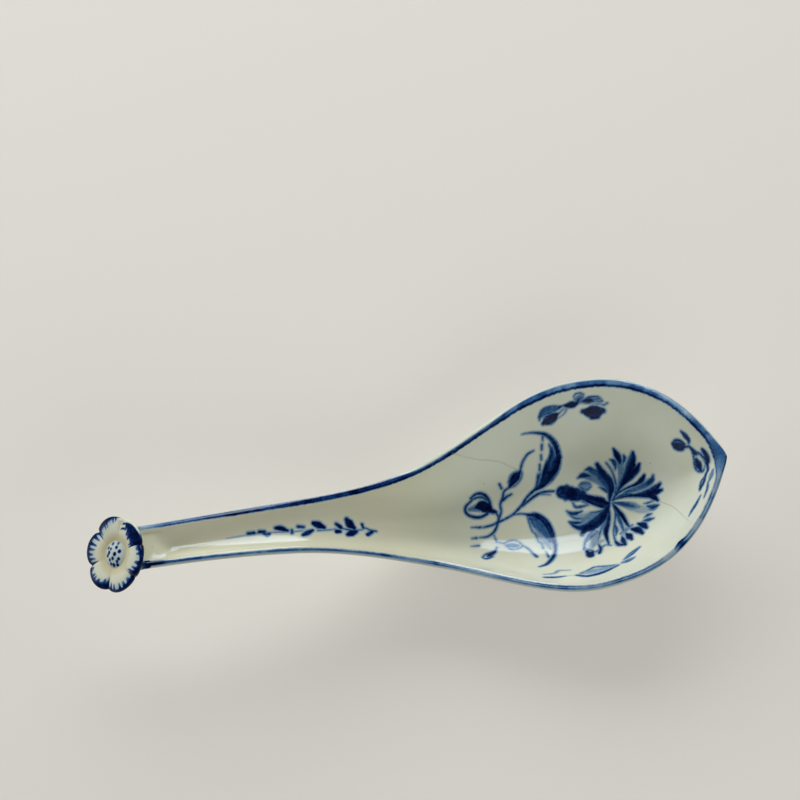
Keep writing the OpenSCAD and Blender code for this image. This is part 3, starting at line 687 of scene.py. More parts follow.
def paint_handle_sprig(brush):
    """The leafy twig along the handle's channel."""
    line, wash = brush.line, brush.wash
    wash(0.26, (-46.9, -0.2, 0.16), (-44.6, -0.1, 0.24), (-42.3, 0, 0.21))
    line(0.50, (-42.3, 0.1, 0.15), (-39.3, 0.1, 0.13), (-36.5, -0.1, 0.13), (-33, -0.4, 0.13),
         (-30.3, -0.4, 0.11))
    line(0.62, (-27.1, -0.6, 0.14), (-25, -0.6, 0.11), (-23.2, -0.4, 0.13))
    line(0.76, (-22.2, -0.1, 0.17), (-21, -0.5, 0.17), (-19.5, -0.8, 0.2), (-17.7, -0.7, 0.13),
         (-16.7, -0.3, 0.14), (-15.7, -0.8, 0.18), (-14.4, -1.1, 0.24))
    line(0.82, (-42.1, 0.3, 0.34), (-40.8, 0.3, 0.34))
    line(0.96, (-39.6, 0.4, 0.34), (-38.5, 0.3, 0.28))
    line(0.84, (-38.8, -0.1, 0.29), (-38.1, -0.5, 0.44), (-37.5, -0.3, 0.26))
    line(1.00, (-36, 0.8, 0.34), (-34.9, 0.6, 0.56), (-33.6, 0, 0.33))
    line(0.78, (-31.2, 0.6, 0.34), (-30, 0.4, 0.35))
    line(0.78, (-32.6, 0, 0.28), (-32.7, -0.7, 0.34))
    line(0.92, (-30.4, -1.4, 0.34), (-29.4, -1, 0.59), (-28.2, -0.5, 0.28))
    line(1.00, (-27.7, 1.1, 0.45), (-26.8, 0.7, 0.82), (-25.6, 0.1, 0.45))
    line(0.92, (-22.8, 0.7, 0.38), (-22, 0, 0.43))
    line(0.96, (-23, -1, 0.45), (-22.3, -1, 0.38))
    line(1.00, (-20.4, 1.6, 0.55), (-19.9, 0.7, 1.0), (-19.1, -0.2, 0.48))
    line(1.00, (-20.8, -1.9, 0.4), (-19.9, -1.5, 0.72), (-18.7, -1.1, 0.35))
    line(0.96, (-17.2, 0.5, 0.32), (-17.1, -0.2, 0.26))
    line(0.96, (-16.4, -1.9, 0.38), (-15.3, -1.2, 0.37))


def paint_hairlines(brush):
    """Two old hairlines in the glaze."""
    crack = brush.crack
    crack(0.7, (4.8, 13.2, 0.05), (10.2, 12.4, 0.05), (14.8, 11.8, 0.05), (18.4, 10, 0.05))
    crack(0.7, (47.5, -3.3, 0.05), (49.8, -5.8, 0.05), (51, -8.4, 0.05), (52.1, -12, 0.05))


# Middle of the rim on the loft, and the points along it that its length is measured by
RIM_CREST = 1.5
RIM_STEPS = 400


def paint_rim(loft, along, around, points):
    """The blue band along the rim. On the bowl it lies broad and fringed on the inner slope
    of the far side, and as a narrow broken line on the near side. On the handle it keeps to
    the outer edge."""
    far = around > 0
    side = np.where(far, 1.0, -1.0)
    crest = loft.at(along, RIM_CREST * side)
    inward = np.linalg.norm(points - crest, axis=1) * np.where(np.abs(around) < RIM_CREST, 1, -1)
    ends = np.linspace(0, 2, RIM_STEPS)
    line = loft.at(ends, np.full(RIM_STEPS, RIM_CREST))
    run = np.concatenate([[0], np.cumsum(np.linalg.norm(np.diff(line, axis=0), axis=1))])
    # Millimetres along the rim from the flower and from the lip's point
    travel = np.interp(along, ends, run)
    to_lip = run[-1] - travel
    handle = smooth(75, 45, travel)
    # Unevenness of the paint, which differs from side to side, and the fringe of the inner edge
    place = side * (travel + 3)
    coarse, fine = ripple(place / 4, 4), ripple(place / 1.1, 6)
    fringe = 0.09 * ripple(place / 0.4, 3) + 0.08 * coarse
    # Where the band swells: at the lip's point, at the flower and in a dash beside the lip
    tip = np.exp(-(to_lip / 3.2)**2)
    root = smooth(5, 2.5, travel)
    dash = np.exp(-((to_lip - 21.7) / 1.2)**2)
    # Edges of the band, in millimetres inwards from the rim's crest
    far_inner = (1.05 - 0.55 * handle - 0.3 * smooth(35, 5, travel) + (1 - 0.5 * handle) * fringe
                 + 1.6 * tip)
    beside = smooth(38, 24, to_lip)
    near_inner = 0.4 - 0.28 * handle - 0.15 * beside + 0.6 * fringe + 2.3 * tip + 0.3 * root
    near_inner = near_inner + 0.4 * dash
    inner = np.where(far, far_inner, near_inner)
    bare = smooth(56, 64, travel) * smooth(92, 80, travel)
    outer = np.where(far, -0.5 - 0.2 * handle + 0.6 * bare, -0.52 - 0.25 * beside) - 0.3 * tip
    # Load of paint across the band
    deep = smooth(0.75, 0.35, inner - inward)
    far_load = (0.54 - 0.08 * smooth(60, 20, to_lip) + 0.14 * coarse + 0.1 * fine
                + (0.34 - 0.14 * handle - 0.2 * tip) * deep)
    far_load = far_load + handle * smooth(6, 16, travel) * (0.1 + 0.25 * smooth(0.1, -0.3, inward))
    far_load = far_load * (0.5 + 0.5 * smooth(0, 6, travel))
    lines = (np.exp(-((inner - 0.2 - inward) / 0.18)**2)
             + np.exp(-((inward - outer - 0.2) / 0.18)**2))
    near_load = 0.18 + 0.08 * fine + 0.1 * handle + 0.55 * root + 0.36 * tip
    near_load = near_load + (0.36 - 0.12 * handle) * lines * (1 + 0.6 * coarse)
    broken = smooth(34, 24, to_lip) * smooth(4, 9, to_lip)
    near_load = near_load * (1 - 0.6 * broken * smooth(-0.2, 0.3, ripple(place / 2.3, 7)))
    near_load = near_load + 0.6 * dash
    band = smooth(outer - 0.16, outer + 0.16, inward) * smooth(inner + 0.16, inner - 0.16, inward)
    bleed = 0.2 * smooth(outer - 0.45, outer, inward) * smooth(inner + 0.3, inner, inward)
    # Blot in the corner between the near rim and the flower
    corner = loft.at(np.zeros(1), np.full(1, -RIM_CREST))
    blot = smooth(1.25, 0.85, np.linalg.norm(points - corner, axis=1))
    ink = np.maximum(band * np.where(far, far_load, near_load), bleed)
    near = (inward > outer - 0.5) & (inward < inner + 0.35) | (blot > 0)
    return np.maximum(ink, 0.9 * blot), near


def deselect_all():
    """Leaves edit mode and deselects every object."""
    if bpy.context.mode != "OBJECT":
        bpy.ops.object.mode_set(mode="OBJECT")
    bpy.ops.object.select_all(action="DESELECT")


def edit(piece):
    """Goes into edit mode on one piece."""
    deselect_all()
    piece.select_set(True)
    bpy.context.view_layer.objects.active = piece
    bpy.ops.object.mode_set(mode="EDIT")
    bpy.ops.mesh.select_mode(type="VERT")


def close_up(piece):
    """Merges the seams, fills open ends, turns the faces outwards and smooths them."""
    edit(piece)
    bpy.ops.mesh.select_all(action="SELECT")
    bpy.ops.mesh.remove_doubles(threshold=MERGE)
    bpy.ops.mesh.select_all(action="DESELECT")
    bpy.ops.mesh.select_non_manifold()
    bpy.ops.mesh.fill_holes(sides=0)
    bpy.ops.mesh.select_all(action="SELECT")
    bpy.ops.mesh.normals_make_consistent(inside=False)
    bpy.ops.object.mode_set(mode="OBJECT")
    bpy.ops.object.shade_smooth_by_angle(angle=SHARP_ANGLE)


def read_points(piece):
    """The piece's points in metres."""
    points = np.zeros(len(piece.data.vertices) * 3, np.float32)
    piece.data.vertices.foreach_get("co", points)
    return points.reshape(-1, 3).astype(float)


def write_points(piece, points):
    """Moves the piece's points to these, in metres."""
    piece.data.vertices.foreach_set("co", np.asarray(points, np.float32).ravel())
    piece.data.update()


def write_values(piece, **values):
    """Keeps named numbers for each point of the piece, or one number for all its points."""
    for name, value in values.items():
        kept = piece.data.attributes.new(name, "FLOAT", "POINT")
        kept.data.foreach_set("value", np.full(len(piece.data.vertices), value, np.float32))


def read_values(piece, name):
    """The numbers of this name that write_values kept."""
    values = np.zeros(len(piece.data.vertices), np.float32)
    piece.data.attributes[name].data.foreach_get("value", values)
    return values.astype(float)


def add_grid(name, columns, rows):
    """A flat grid, with each point's place on it from 0 to 1 both ways."""
    deselect_all()
    bpy.ops.mesh.primitive_grid_add(x_subdivisions=columns, y_subdivisions=rows, size=2)
    piece = bpy.context.object
    piece.name = name
    points = read_points(piece)
    return piece, (points[:, 0] + 1) / 2, (points[:, 1] + 1) / 2


def finish_piece(piece, node, material):
    """Gives a piece its material and puts it in the place of a solid."""
    piece.data.materials.clear()
    piece.data.materials.append(material)
    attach(piece, "root")
    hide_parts(node)


class Nodes:
    """Adds nodes to a tree and links them."""

    def __init__(self, tree):
        self.tree = tree

    def add(self, kind, **values):
        node = self.tree.nodes.new(kind)
        for name, value in values.items():
            setattr(node, name, value)
        return node

    def link(self, source, target):
        self.tree.links.new(source, target)

    def noise(self, vector, scale, detail):
        node = self.add("ShaderNodeTexNoise")
        node.inputs["Scale"].default_value = scale
        node.inputs["Detail"].default_value = detail
        self.link(vector, node.inputs["Vector"])
        return node.outputs["Fac"]

    def ranged(self, value, low, high, to_low, to_high):
        node = self.add("ShaderNodeMapRange")
        names = "From Min", "From Max", "To Min", "To Max"
        for name, number in zip(names, (low, high, to_low, to_high)):
            node.inputs[name].default_value = number
        self.link(value, node.inputs["Value"])
        return node.outputs["Result"]

    def math(self, operation, first, second):
        node = self.add("ShaderNodeMath", operation=operation)
        for socket, value in zip(node.inputs, (first, second)):
            if isinstance(value, (int, float)):
                socket.default_value = value
            else:
                self.link(value, socket)
        return node.outputs["Value"]

    def mixed(self, share, first, second):
        """Mixes two colours. A Mix node has its colours after sockets for other kinds."""
        node = self.add("ShaderNodeMix", data_type="RGBA")
        sockets = node.inputs[0], node.inputs[6], node.inputs[7]
        for socket, value in zip(sockets, (share, first, second)):
            if hasattr(value, "is_linked"):
                self.link(value, socket)
            elif isinstance(value, (int, float)):
                socket.default_value = value
            else:
                socket.default_value = (*value, 1)
        return node.outputs[2]


def new_group(name, inputs, outputs):
    """A new node group with these sockets, its nodes, and the nodes of its two ends."""
    group = bpy.data.node_groups.new(name, "ShaderNodeTree")
    for direction, sockets in (("INPUT", inputs), ("OUTPUT", outputs)):
        for socket, kind in sockets.items():
            group.interface.new_socket(socket, in_out=direction, socket_type="NodeSocket" + kind)
    nodes = Nodes(group)
    return group, nodes, nodes.add("NodeGroupInput"), nodes.add("NodeGroupOutput")


def cobalt_group(colours):
    """Blue paint under the glaze: the more ink, the deeper the blue, with a brushed grain."""
    group, nodes, given, result = new_group(
        "Cobalt under glaze", {"Vector": "Vector", "Ground": "Color", "Ink": "Float"},
        {"Colour": "Color"})
    grain = nodes.ranged(nodes.noise(given.outputs["Vector"], 1500, 3), 0.3, 0.7, 0.86, 1.08)
    cloud = nodes.ranged(nodes.noise(given.outputs["Vector"], 420, 2), 0.3, 0.7, 0.9, 1.06)
    ink = nodes.math("MULTIPLY", nodes.math("MULTIPLY", given.outputs["Ink"], grain), cloud)
    ramp = nodes.add("ShaderNodeValToRGB")
    stops = ((0.1, colours.thin_wash), (0.3, colours.wash), (0.5, colours.light_blue),
             (0.68, colours.line_blue), (0.84, colours.deep_blue), (1.0, colours.black_blue))
    elements = ramp.color_ramp.elements
    while len(elements) < len(stops):
        elements.new(0.5)
    for element, (place, tint) in zip(elements, stops):
        element.position = place
        element.color = (*tint, 1)
    nodes.link(ink, ramp.inputs["Fac"])
    cover = nodes.ranged(ink, 0.0, 0.15, 0.0, 1.0)
    painted = nodes.mixed(cover, given.outputs["Ground"], ramp.outputs["Color"])
    nodes.link(painted, result.inputs["Colour"])
    return group


def glaze_group(colours):
    """Clear glaze over porcelain: its tint, sheen and ripple over the surface. The tint is glaze
    pooled at random, plus the painted shade and painted warm light that each piece gives.
    """
    group, nodes, given, result = new_group(
        "Clear glaze", {"Vector": "Vector", "Pool": "Float"},
        {"Colour": "Color", "Roughness": "Float", "Height": "Float"})
    vector = given.outputs["Vector"]
    cloud = nodes.ranged(nodes.noise(vector, 70, 3), 0.35, 0.7, 0.0, 0.3)
    # Tan tint where the glaze pools at random, or where a piece paints shade or warm light
    pool = nodes.math("MAXIMUM", cloud, given.outputs["Pool"])
    tint = nodes.mixed(pool, colours.glaze, colours.pooled)
    specks = nodes.add("ShaderNodeTexVoronoi")
    specks.inputs["Scale"].default_value = 190
    nodes.link(vector, specks.inputs["Vector"])
    speck = nodes.ranged(specks.outputs["Distance"], 0.03, 0.05, 0.35, 0.0)
    nodes.link(nodes.mixed(speck, tint, colours.crack), result.inputs["Colour"])
    sheen = nodes.ranged(nodes.noise(vector, 300, 3), 0.3, 0.7, 0.07, 0.13)
    nodes.link(sheen, result.inputs["Roughness"])
    ripples = nodes.math("MULTIPLY", nodes.noise(vector, 180, 2), 0.8)
    pits = nodes.math("MULTIPLY", nodes.noise(vector, 1300, 2), 0.08)
    nodes.link(nodes.math("ADD", ripples, pits), result.inputs["Height"])
    return group


def shared_group(name, make, colours):
    """The node group of this name, made the first time it is used."""
    return bpy.data.node_groups.get(name) or make(colours)


def glazed_material(name, colours):
    """Glazed porcelain with the piece's own painting, hairlines and pooled glaze. The glaze's tan
    tint also carries painted shade and painted warm light.
    """
    material = bpy.data.materials.new(name)
    material.use_nodes = True
    nodes = Nodes(material.node_tree)
    shader = material.node_tree.nodes["Principled BSDF"]
    shader.inputs["IOR"].default_value = 1.52
    shader.inputs["Specular IOR Level"].default_value = 0.22
    place = nodes.add("ShaderNodeTexCoord").outputs["Object"]
    ink, hairline, pool = (nodes.add("ShaderNodeAttribute", attribute_name=kept).outputs["Fac"]
                           for kept in ("ink", "hairline", "pool"))
    glaze, cobalt = (nodes.add("ShaderNodeGroup", node_tree=shared_group(title, make, colours))
                     for title, make in (("Clear glaze", glaze_group),
                                         ("Cobalt under glaze", cobalt_group)))
    nodes.link(place, glaze.inputs["Vector"])
    nodes.link(pool, glaze.inputs["Pool"])
    nodes.link(place, cobalt.inputs["Vector"])
    nodes.link(glaze.outputs["Colour"], cobalt.inputs["Ground"])
    nodes.link(ink, cobalt.inputs["Ink"])
    stained = nodes.mixed(hairline, cobalt.outputs["Colour"], colours.crack)
    nodes.link(stained, shader.inputs["Base Color"])
    nodes.link(glaze.outputs["Roughness"], shader.inputs["Roughness"])
    bump = nodes.add("ShaderNodeBump")
    bump.inputs["Strength"].default_value = 0.5
    bump.inputs["Distance"].default_value = RIPPLE_DEPTH
    nodes.link(glaze.outputs["Height"], bump.inputs["Height"])
    nodes.link(bump.outputs["Normal"], shader.inputs["Normal"])
    return material


class SPOON_OT_body(bpy.types.Operator):
    """Make the bowl and handle with their painting"""
    bl_idname = "spoon.body"
    bl_label = "Bowl and handle"

    # What is painted, and how dry the brush is
    MOTIFS = {paint_carnation: 0.4, paint_leaves: 0.6, paint_buds: 0.3, paint_wall_sprigs: 0.3,
              paint_handle_sprig: 0.15, paint_hairlines: 0.0}
    # Columns along the spoon and rows round its section, and how often painted faces are split
    GRID = (154, 112)
    SPLITS = 2
    # Shares of the grid up to the widest place, and up to each edge round the section
    SIDE_SHARE = 0.70
    AROUND_KNOTS = (0.0, 0.18, 0.24, 0.5, 0.76, 0.82, 1.0)
    # How far round the rim the strokes are laid, and how far the surface goes that they fall on
    PAINTED = 1.35
    UNDER_BRUSH = 1.6

    def paint(self, loft, tree, along, around):
        """Ink and hairlines at these places, and which of them lie near a stroke."""
        points = loft.at(along, around)
        brush = Brush(points, tree, loft.shift)
        for motif, brush.dry in self.MOTIFS.items():
            motif(brush)
        rim_ink, rim_near = paint_rim(loft, along, around, points)
        inside = np.abs(around) < self.PAINTED
        ink = np.maximum(np.where(inside, brush.ink, 0), rim_ink)
        return ink, np.where(inside, brush.hairline, 0), (brush.near & inside) | rim_near

    def split(self, body, near):
        """Splits the faces that have a point near a stroke."""
        painted = np.array([near[list(face.vertices)].any() for face in body.data.polygons])
        for part in (body.data.vertices, body.data.edges):
            part.foreach_set("select", np.zeros(len(part), bool))
        body.data.polygons.foreach_set("select", painted)
        bpy.context.tool_settings.mesh_select_mode = (False, False, True)
        bpy.ops.object.mode_set(mode="EDIT")
        bpy.ops.mesh.subdivide(number_cuts=1)
        bpy.ops.object.mode_set(mode="OBJECT")

    def execute(self, context):
        scene = context.scene
        loft = Loft(scene.spoon_sizes, scene.flower_sizes.tilt)
        body, u, v = add_grid("glazed_body", *self.GRID)
        along = np.interp(u, (0, self.SIDE_SHARE, 1), (0, 1, 2))
        around = np.interp(v, self.AROUND_KNOTS, (-3, -2, -1, 0, 1, 2, 3))
        write_values(body, along=along, around=around)
        points = loft.at(along, around)
        faces = [tuple(face.vertices) for face in body.data.polygons
                 if all(abs(around[i]) < self.UNDER_BRUSH for i in face.vertices)]
        tree = BVHTree.FromPolygons([Vector(p) for p in points], faces)
        for _ in range(self.SPLITS):
            self.split(body, self.paint(loft, tree, along, around)[2])
            along, around = read_values(body, "along"), read_values(body, "around")
        ink, hairline = self.paint(loft, tree, along, around)[:2]
        points = loft.at(along, around)
        write_points(body, points * MM)
        # Painted warm light: the glaze turns towards the tan tint along the handle, most at its
        # end
        pool = 0.5 * smooth(22, -15, points[:, 0] - loft.shift)
        write_values(body, ink=ink, hairline=hairline, pool=pool)
        for name in ("along", "around"):
            body.data.attributes.remove(body.data.attributes[name])
        close_up(body)
        material = glazed_material("Painted body glaze", scene.glaze_colours)
        finish_piece(body, "spoon_body", material)
        return {"FINISHED"}


class Flower:
    """Places in the flower, in millimetres from its seat on the handle's end."""
    PETAL_SWEEP = math.pi / len(PETALS)
    # The glaze all but closes the clefts between the petals
    HAIR_GAP = 0.02
    # Where a petal's top, edge and underside end on the ring round its section
    TOP_END, EDGE_END, UNDER_END = 0.5, 0.6, 0.96

    def __init__(self, scene):
        for name in FlowerSizes.__annotations__:
            value = getattr(scene.flower_sizes, name)
            setattr(self, name, value if name == "tilt" else value / MM)
        loft = Loft(scene.spoon_sizes, self.tilt)
        bevel_height = loft.channel_depth + loft.handle_wall + loft.end_swell
        seat_depth = 0.62 * bevel_height
        self.tip_r = self.width / 2
        self.notch_r = self.tip_r - self.notch_depth
        self.hub_r = 0.12 * self.tip_r
        self.seat_r = 0.56 * self.tip_r
        self.root_r = 1.07 * self.boss_width / 2
        self.calyx_r = min(0.36 * bevel_height / math.cos(self.tilt), 0.4 * loft.handle_width)
        seat_x = loft.x_end + loft.shift - seat_depth * math.tan(self.tilt)
        seat = Vector((seat_x, 0, loft.z_end - seat_depth))
        slope = Matrix.Rotation(self.tilt - math.pi / 2, 4, "Y")
        self.frame = Matrix.Translation(seat * MM) @ slope
        self.top = self.calyx_height + self.petal_root

    def set_in_place(self, piece, turn=0.0):
        """Turns a piece about the flower's axis and seats it on the handle's end."""
        piece.data.transform(self.frame @ Matrix.Rotation(turn, 4, "Z"))
        piece.data.update()

    def tip(self, a):
        """Distance of a petal's edge from the flower's axis."""
        return self.notch_r + self.notch_depth * np.maximum(0, 1 - a * a)**0.6

    def petal_point(self, a, ring):
        """Point of a petal: a runs across it from -1 to 1, and ring from its hub along the
        top to the tip, round the edge and back below."""
        tip = self.tip(a)
        bend = 0.4 * self.petal_edge
        ends = (0, self.TOP_END, self.EDGE_END, self.UNDER_END, 1)
        top_q, edge_q, under_q, back_q = (np.interp(ring, pair, (0, 1))
                                          for pair in zip(ends, ends[1:]))
        r_top = np.interp(top_q, (0, 0.12, 1), (0, 0.25, 1))
        r = self.hub_r + (tip - bend - self.hub_r) * r_top
        r = np.where(ring > self.TOP_END, tip - bend + bend * np.sin(math.pi * edge_q), r)
        r = np.where(ring > self.EDGE_END, tip - bend + (self.hub_r - tip + bend) * under_q, r)
        s_top = np.maximum(0, (r - self.root_r) / (self.tip_r - self.root_r))
        s_low = np.maximum(0, (r - self.seat_r) / (self.tip_r - self.seat_r))
        fall = self.petal_crown * a * a
        bulge = 4 * self.petal_bulge * s_top * (1 - s_top)
        z_top = self.top + self.petal_cup * s_top**2 + bulge - fall * s_top
        rise = self.petal_cup + self.petal_root - self.petal_edge
        z_low = self.calyx_height + rise * s_low**2 - fall * s_low
        shoulder = 0.3 * smooth(0.8, 1, np.abs(a)) * smooth(0.2, 0.7, s_top)
        z_top = z_top - shoulder
        z = np.where(ring <= self.TOP_END, z_top, z_low)
        middle, half = (z_top + z_low) / 2, (z_top - z_low) / 2
        on_edge = (ring > self.TOP_END) & (ring <= self.EDGE_END)
        z = np.where(on_edge, middle + half * np.cos(math.pi * edge_q), z)
        z = np.where(ring > self.UNDER_END, z_low + (z_top - z_low) * back_q, z)
        turn = a * (self.PETAL_SWEEP - np.arcsin(self.HAIR_GAP / 2 / r))
        return np.stack([r * np.cos(turn), r * np.sin(turn), z], 1), r, tip - r


class SPOON_OT_petals(bpy.types.Operator):
    """Make the six petals with their feathered blue edges"""
    bl_idname = "spoon.petals"
    bl_label = "Petals"

    # Painting of each petal in millimetres: the bare edge, the solid blue band inside it and the
    # reach of the strokes, each on the clockwise side, in the middle and on the other side
    PAINT = (((0, 0, 0), (-0.4, 1.4, 1.8), (0.8, 2, 1.8)),
             ((0, 0, 0), (1, 1.3, 1.1), (1.8, 2.2, 1.8)),
             ((0, 0, 0), (0.9, 1.2, 1.9), (1.3, 1.2, 1.1)),
             ((0, 0, 0), (1, 0.6, 0.8), (1.6, 2, 1.6)),
             ((0, 0, 0), (1.7, 0.5, 1.3), (1.2, 1.6, 1)),
             ((0, 0.5, 1.1), (2.8, 2.5, -1.8), (0.8, 0.9, 1.2)))
    # How much the strokes of each petal fade, the strokes across a petal, the petal that has two
    # curled strokes, and the grid's columns across a petal and rows round it
    FADES = (0.5, 0.5, 0.4, 0.55, 0.5, 0.3)
    STROKES = 6
    CURLED = 5
    GRID = (112, 140)

    def ink(self, k, a, ring, inset):
        """Ink on petal k, by the place across it, the ring and the distance from its tip."""
        start, band, reach = (np.interp(a, (-1, 0, 1), row) for row in self.PAINT[k])
        phase = a * self.STROKES + 0.8 * ripple(a * 3, k)
        comb = smooth(-0.6, 0.5, np.cos(math.pi * phase))
        end = start + band + reach * comb * (0.65 + 0.35 * ripple(phase / 2 + 0.5, k + 20))
        painted = smooth(-0.2, 0.15, band) * smooth(start - 0.3, start - 0.05, inset)
        tone = 0.93 + 0.07 * ripple(0.7 * phase, k + 40)
        tone = tone - self.FADES[k] * smooth(start + 0.4 * band, end, inset)
        stroke = tone * smooth(end + 0.2, end - 0.15, inset)
        between = 0.14 * smooth(start + band + reach, start + band, inset)
        top = painted * np.maximum(stroke, between)
        if k == self.CURLED:
            curls = np.exp(-((inset - 1) / 0.25)**2) + np.exp(-((inset - 2.1) / 0.25)**2)
            top = np.maximum(top, 0.9 * curls * smooth(0.95, 0.8, a) * smooth(0.2, 0.4, a))
        below = painted * smooth(0.3, 0.1, start) * smooth(0.4, 0.2, inset)
        return np.where(ring <= Flower.EDGE_END, top, below)

    def execute(self, context):
        scene = context.scene
        flower = Flower(scene)
        material = glazed_material("Painted petal glaze", scene.glaze_colours)
        for k, node in enumerate(PETALS):
            petal, u, ring = add_grid(f"glazed_{node}", *self.GRID)
            a = 2 * u - 1
            points, r, inset = flower.petal_point(a, ring)
            write_points(petal, points * MM)
            # Painted shade: tan in the hollow round the boss and towards the clefts between the
            # petals, over an even tan tint of 0.25
            shade_round_boss = 0.95 * smooth(flower.root_r + 2.8, flower.root_r + 0.3, r)
            pool = np.maximum(shade_round_boss, 0.25 + 0.2 * smooth(0.5, 1, np.abs(a)))
            write_values(petal, ink=self.ink(k, a, ring, inset), hairline=0, pool=pool)
            flower.set_in_place(petal, math.pi / 2 + 2 * flower.PETAL_SWEEP * k)
            close_up(petal)
            finish_piece(petal, node, material)
        return {"FINISHED"}


class SPOON_OT_calyx(bpy.types.Operator):
    """Make the flared calyx that carries the petals"""
    bl_idname = "spoon.calyx"
    bl_label = "Calyx"

    CORNERS = 72
    RINGS = 10
    POOL = 0.25

    def execute(self, context):
        scene = context.scene
        flower = Flower(scene)
        deselect_all()
        bpy.ops.mesh.primitive_circle_add(vertices=self.CORNERS, radius=flower.calyx_r * MM,
                                          fill_type="NGON")
        calyx = context.object
        calyx.name = "glazed_calyx"
        edit(calyx)
        bpy.ops.mesh.select_all(action="SELECT")
        radius = flower.calyx_r
        for ring in range(1, self.RINGS + 1):
            wider = flower.calyx_r + (flower.seat_r - flower.calyx_r) * (ring / self.RINGS)**2
            step = flower.calyx_height / self.RINGS * MM
            bpy.ops.mesh.extrude_region_move(TRANSFORM_OT_translate={"value": (0, 0, step)})
            bpy.ops.transform.resize(value=(wider / radius, wider / radius, 1))
            radius = wider
        bpy.ops.object.mode_set(mode="OBJECT")
        write_values(calyx, ink=0, hairline=0, pool=self.POOL)
        flower.set_in_place(calyx)
        close_up(calyx)
        material = glazed_material("Calyx glaze", scene.glaze_colours)
        finish_piece(calyx, "flower_calyx", material)
        return {"FINISHED"}


class SPOON_OT_boss(bpy.types.Operator):
    """Make the stamen boss with its blue dots"""
    bl_idname = "spoon.boss"
    bl_label = "Stamen boss"

    # Dots on the boss: place towards the bowl, place across, radius and tone
    DOTS = ((0.1, 2.4, 0.34, 0.6), (-1.3, 1.9, 0.32, 0.85), (-0.5, 1.4, 0.28, 0.8),
            (-1.2, 0.8, 0.38, 1), (1.1, 1.2, 0.32, 0.85), (0.4, -0.1, 0.4, 1), (1.7, 0.1, 0.36, 1),
            (-1.8, 0.3, 0.34, 0.9), (-0.4, -0.8, 0.34, 0.95), (-1.4, -0.8, 0.3, 0.9),
            (1.1, -1.4, 0.3, 0.9), (0.5, -1.8, 0.28, 0.8), (-1.4, -1.7, 0.3, 0.85),
            (-0.7, -2.2, 0.38, 1), (0.3, -2.5, 0.3, 0.9), (1.6, 2, 0.32, 0.5))
    # Pale ground under the dots
    GROUND = 0.1
    SEGMENTS = 128
    # Points of the sphere closer than this to the plane that cuts it, in metres, are on it
    ON_PLANE = 1e-7

    def execute(self, context):
        scene = context.scene
        flower = Flower(scene)
        height = flower.boss_height * MM
        radius = ((flower.boss_width / 2 * MM)**2 + height**2) / (2 * height)
        deselect_all()
        bpy.ops.mesh.primitive_uv_sphere_add(segments=self.SEGMENTS, ring_count=2 * self.SEGMENTS,
                                             radius=radius)
        boss = context.object
        boss.name = "glazed_boss"
        edit(boss)
        bpy.ops.mesh.select_all(action="SELECT")
        bpy.ops.mesh.bisect(plane_co=(0, 0, radius - height), plane_no=(0, 0, 1),
                            clear_inner=True, use_fill=True, threshold=self.ON_PLANE)
        bpy.ops.mesh.select_all(action="SELECT")
        bpy.ops.transform.translate(value=(0, 0, flower.top * MM + height - radius))
        bpy.ops.object.mode_set(mode="OBJECT")
        points = read_points(boss) / MM
        ink = np.full(len(points), self.GROUND)
        for x, y, size, tone in self.DOTS:
            distance = np.hypot(points[:, 0] - x, points[:, 1] - y)
            ink = 1 - (1 - ink) * (1 - tone * smooth(size + 0.2, size - 0.14, distance))
        # Painted shade: tan along the boss's rim, in the crease where it meets the petals
        edge = np.hypot(points[:, 0], points[:, 1]) / (flower.boss_width / 2)
        write_values(boss, ink=ink, hairline=0, pool=0.6 * smooth(0.7, 1, edge))
        flower.set_in_place(boss)
        close_up(boss)
        material = glazed_material("Dotted boss glaze", scene.glaze_colours)
        finish_piece(boss, "flower_boss", material)
        return {"FINISHED"}


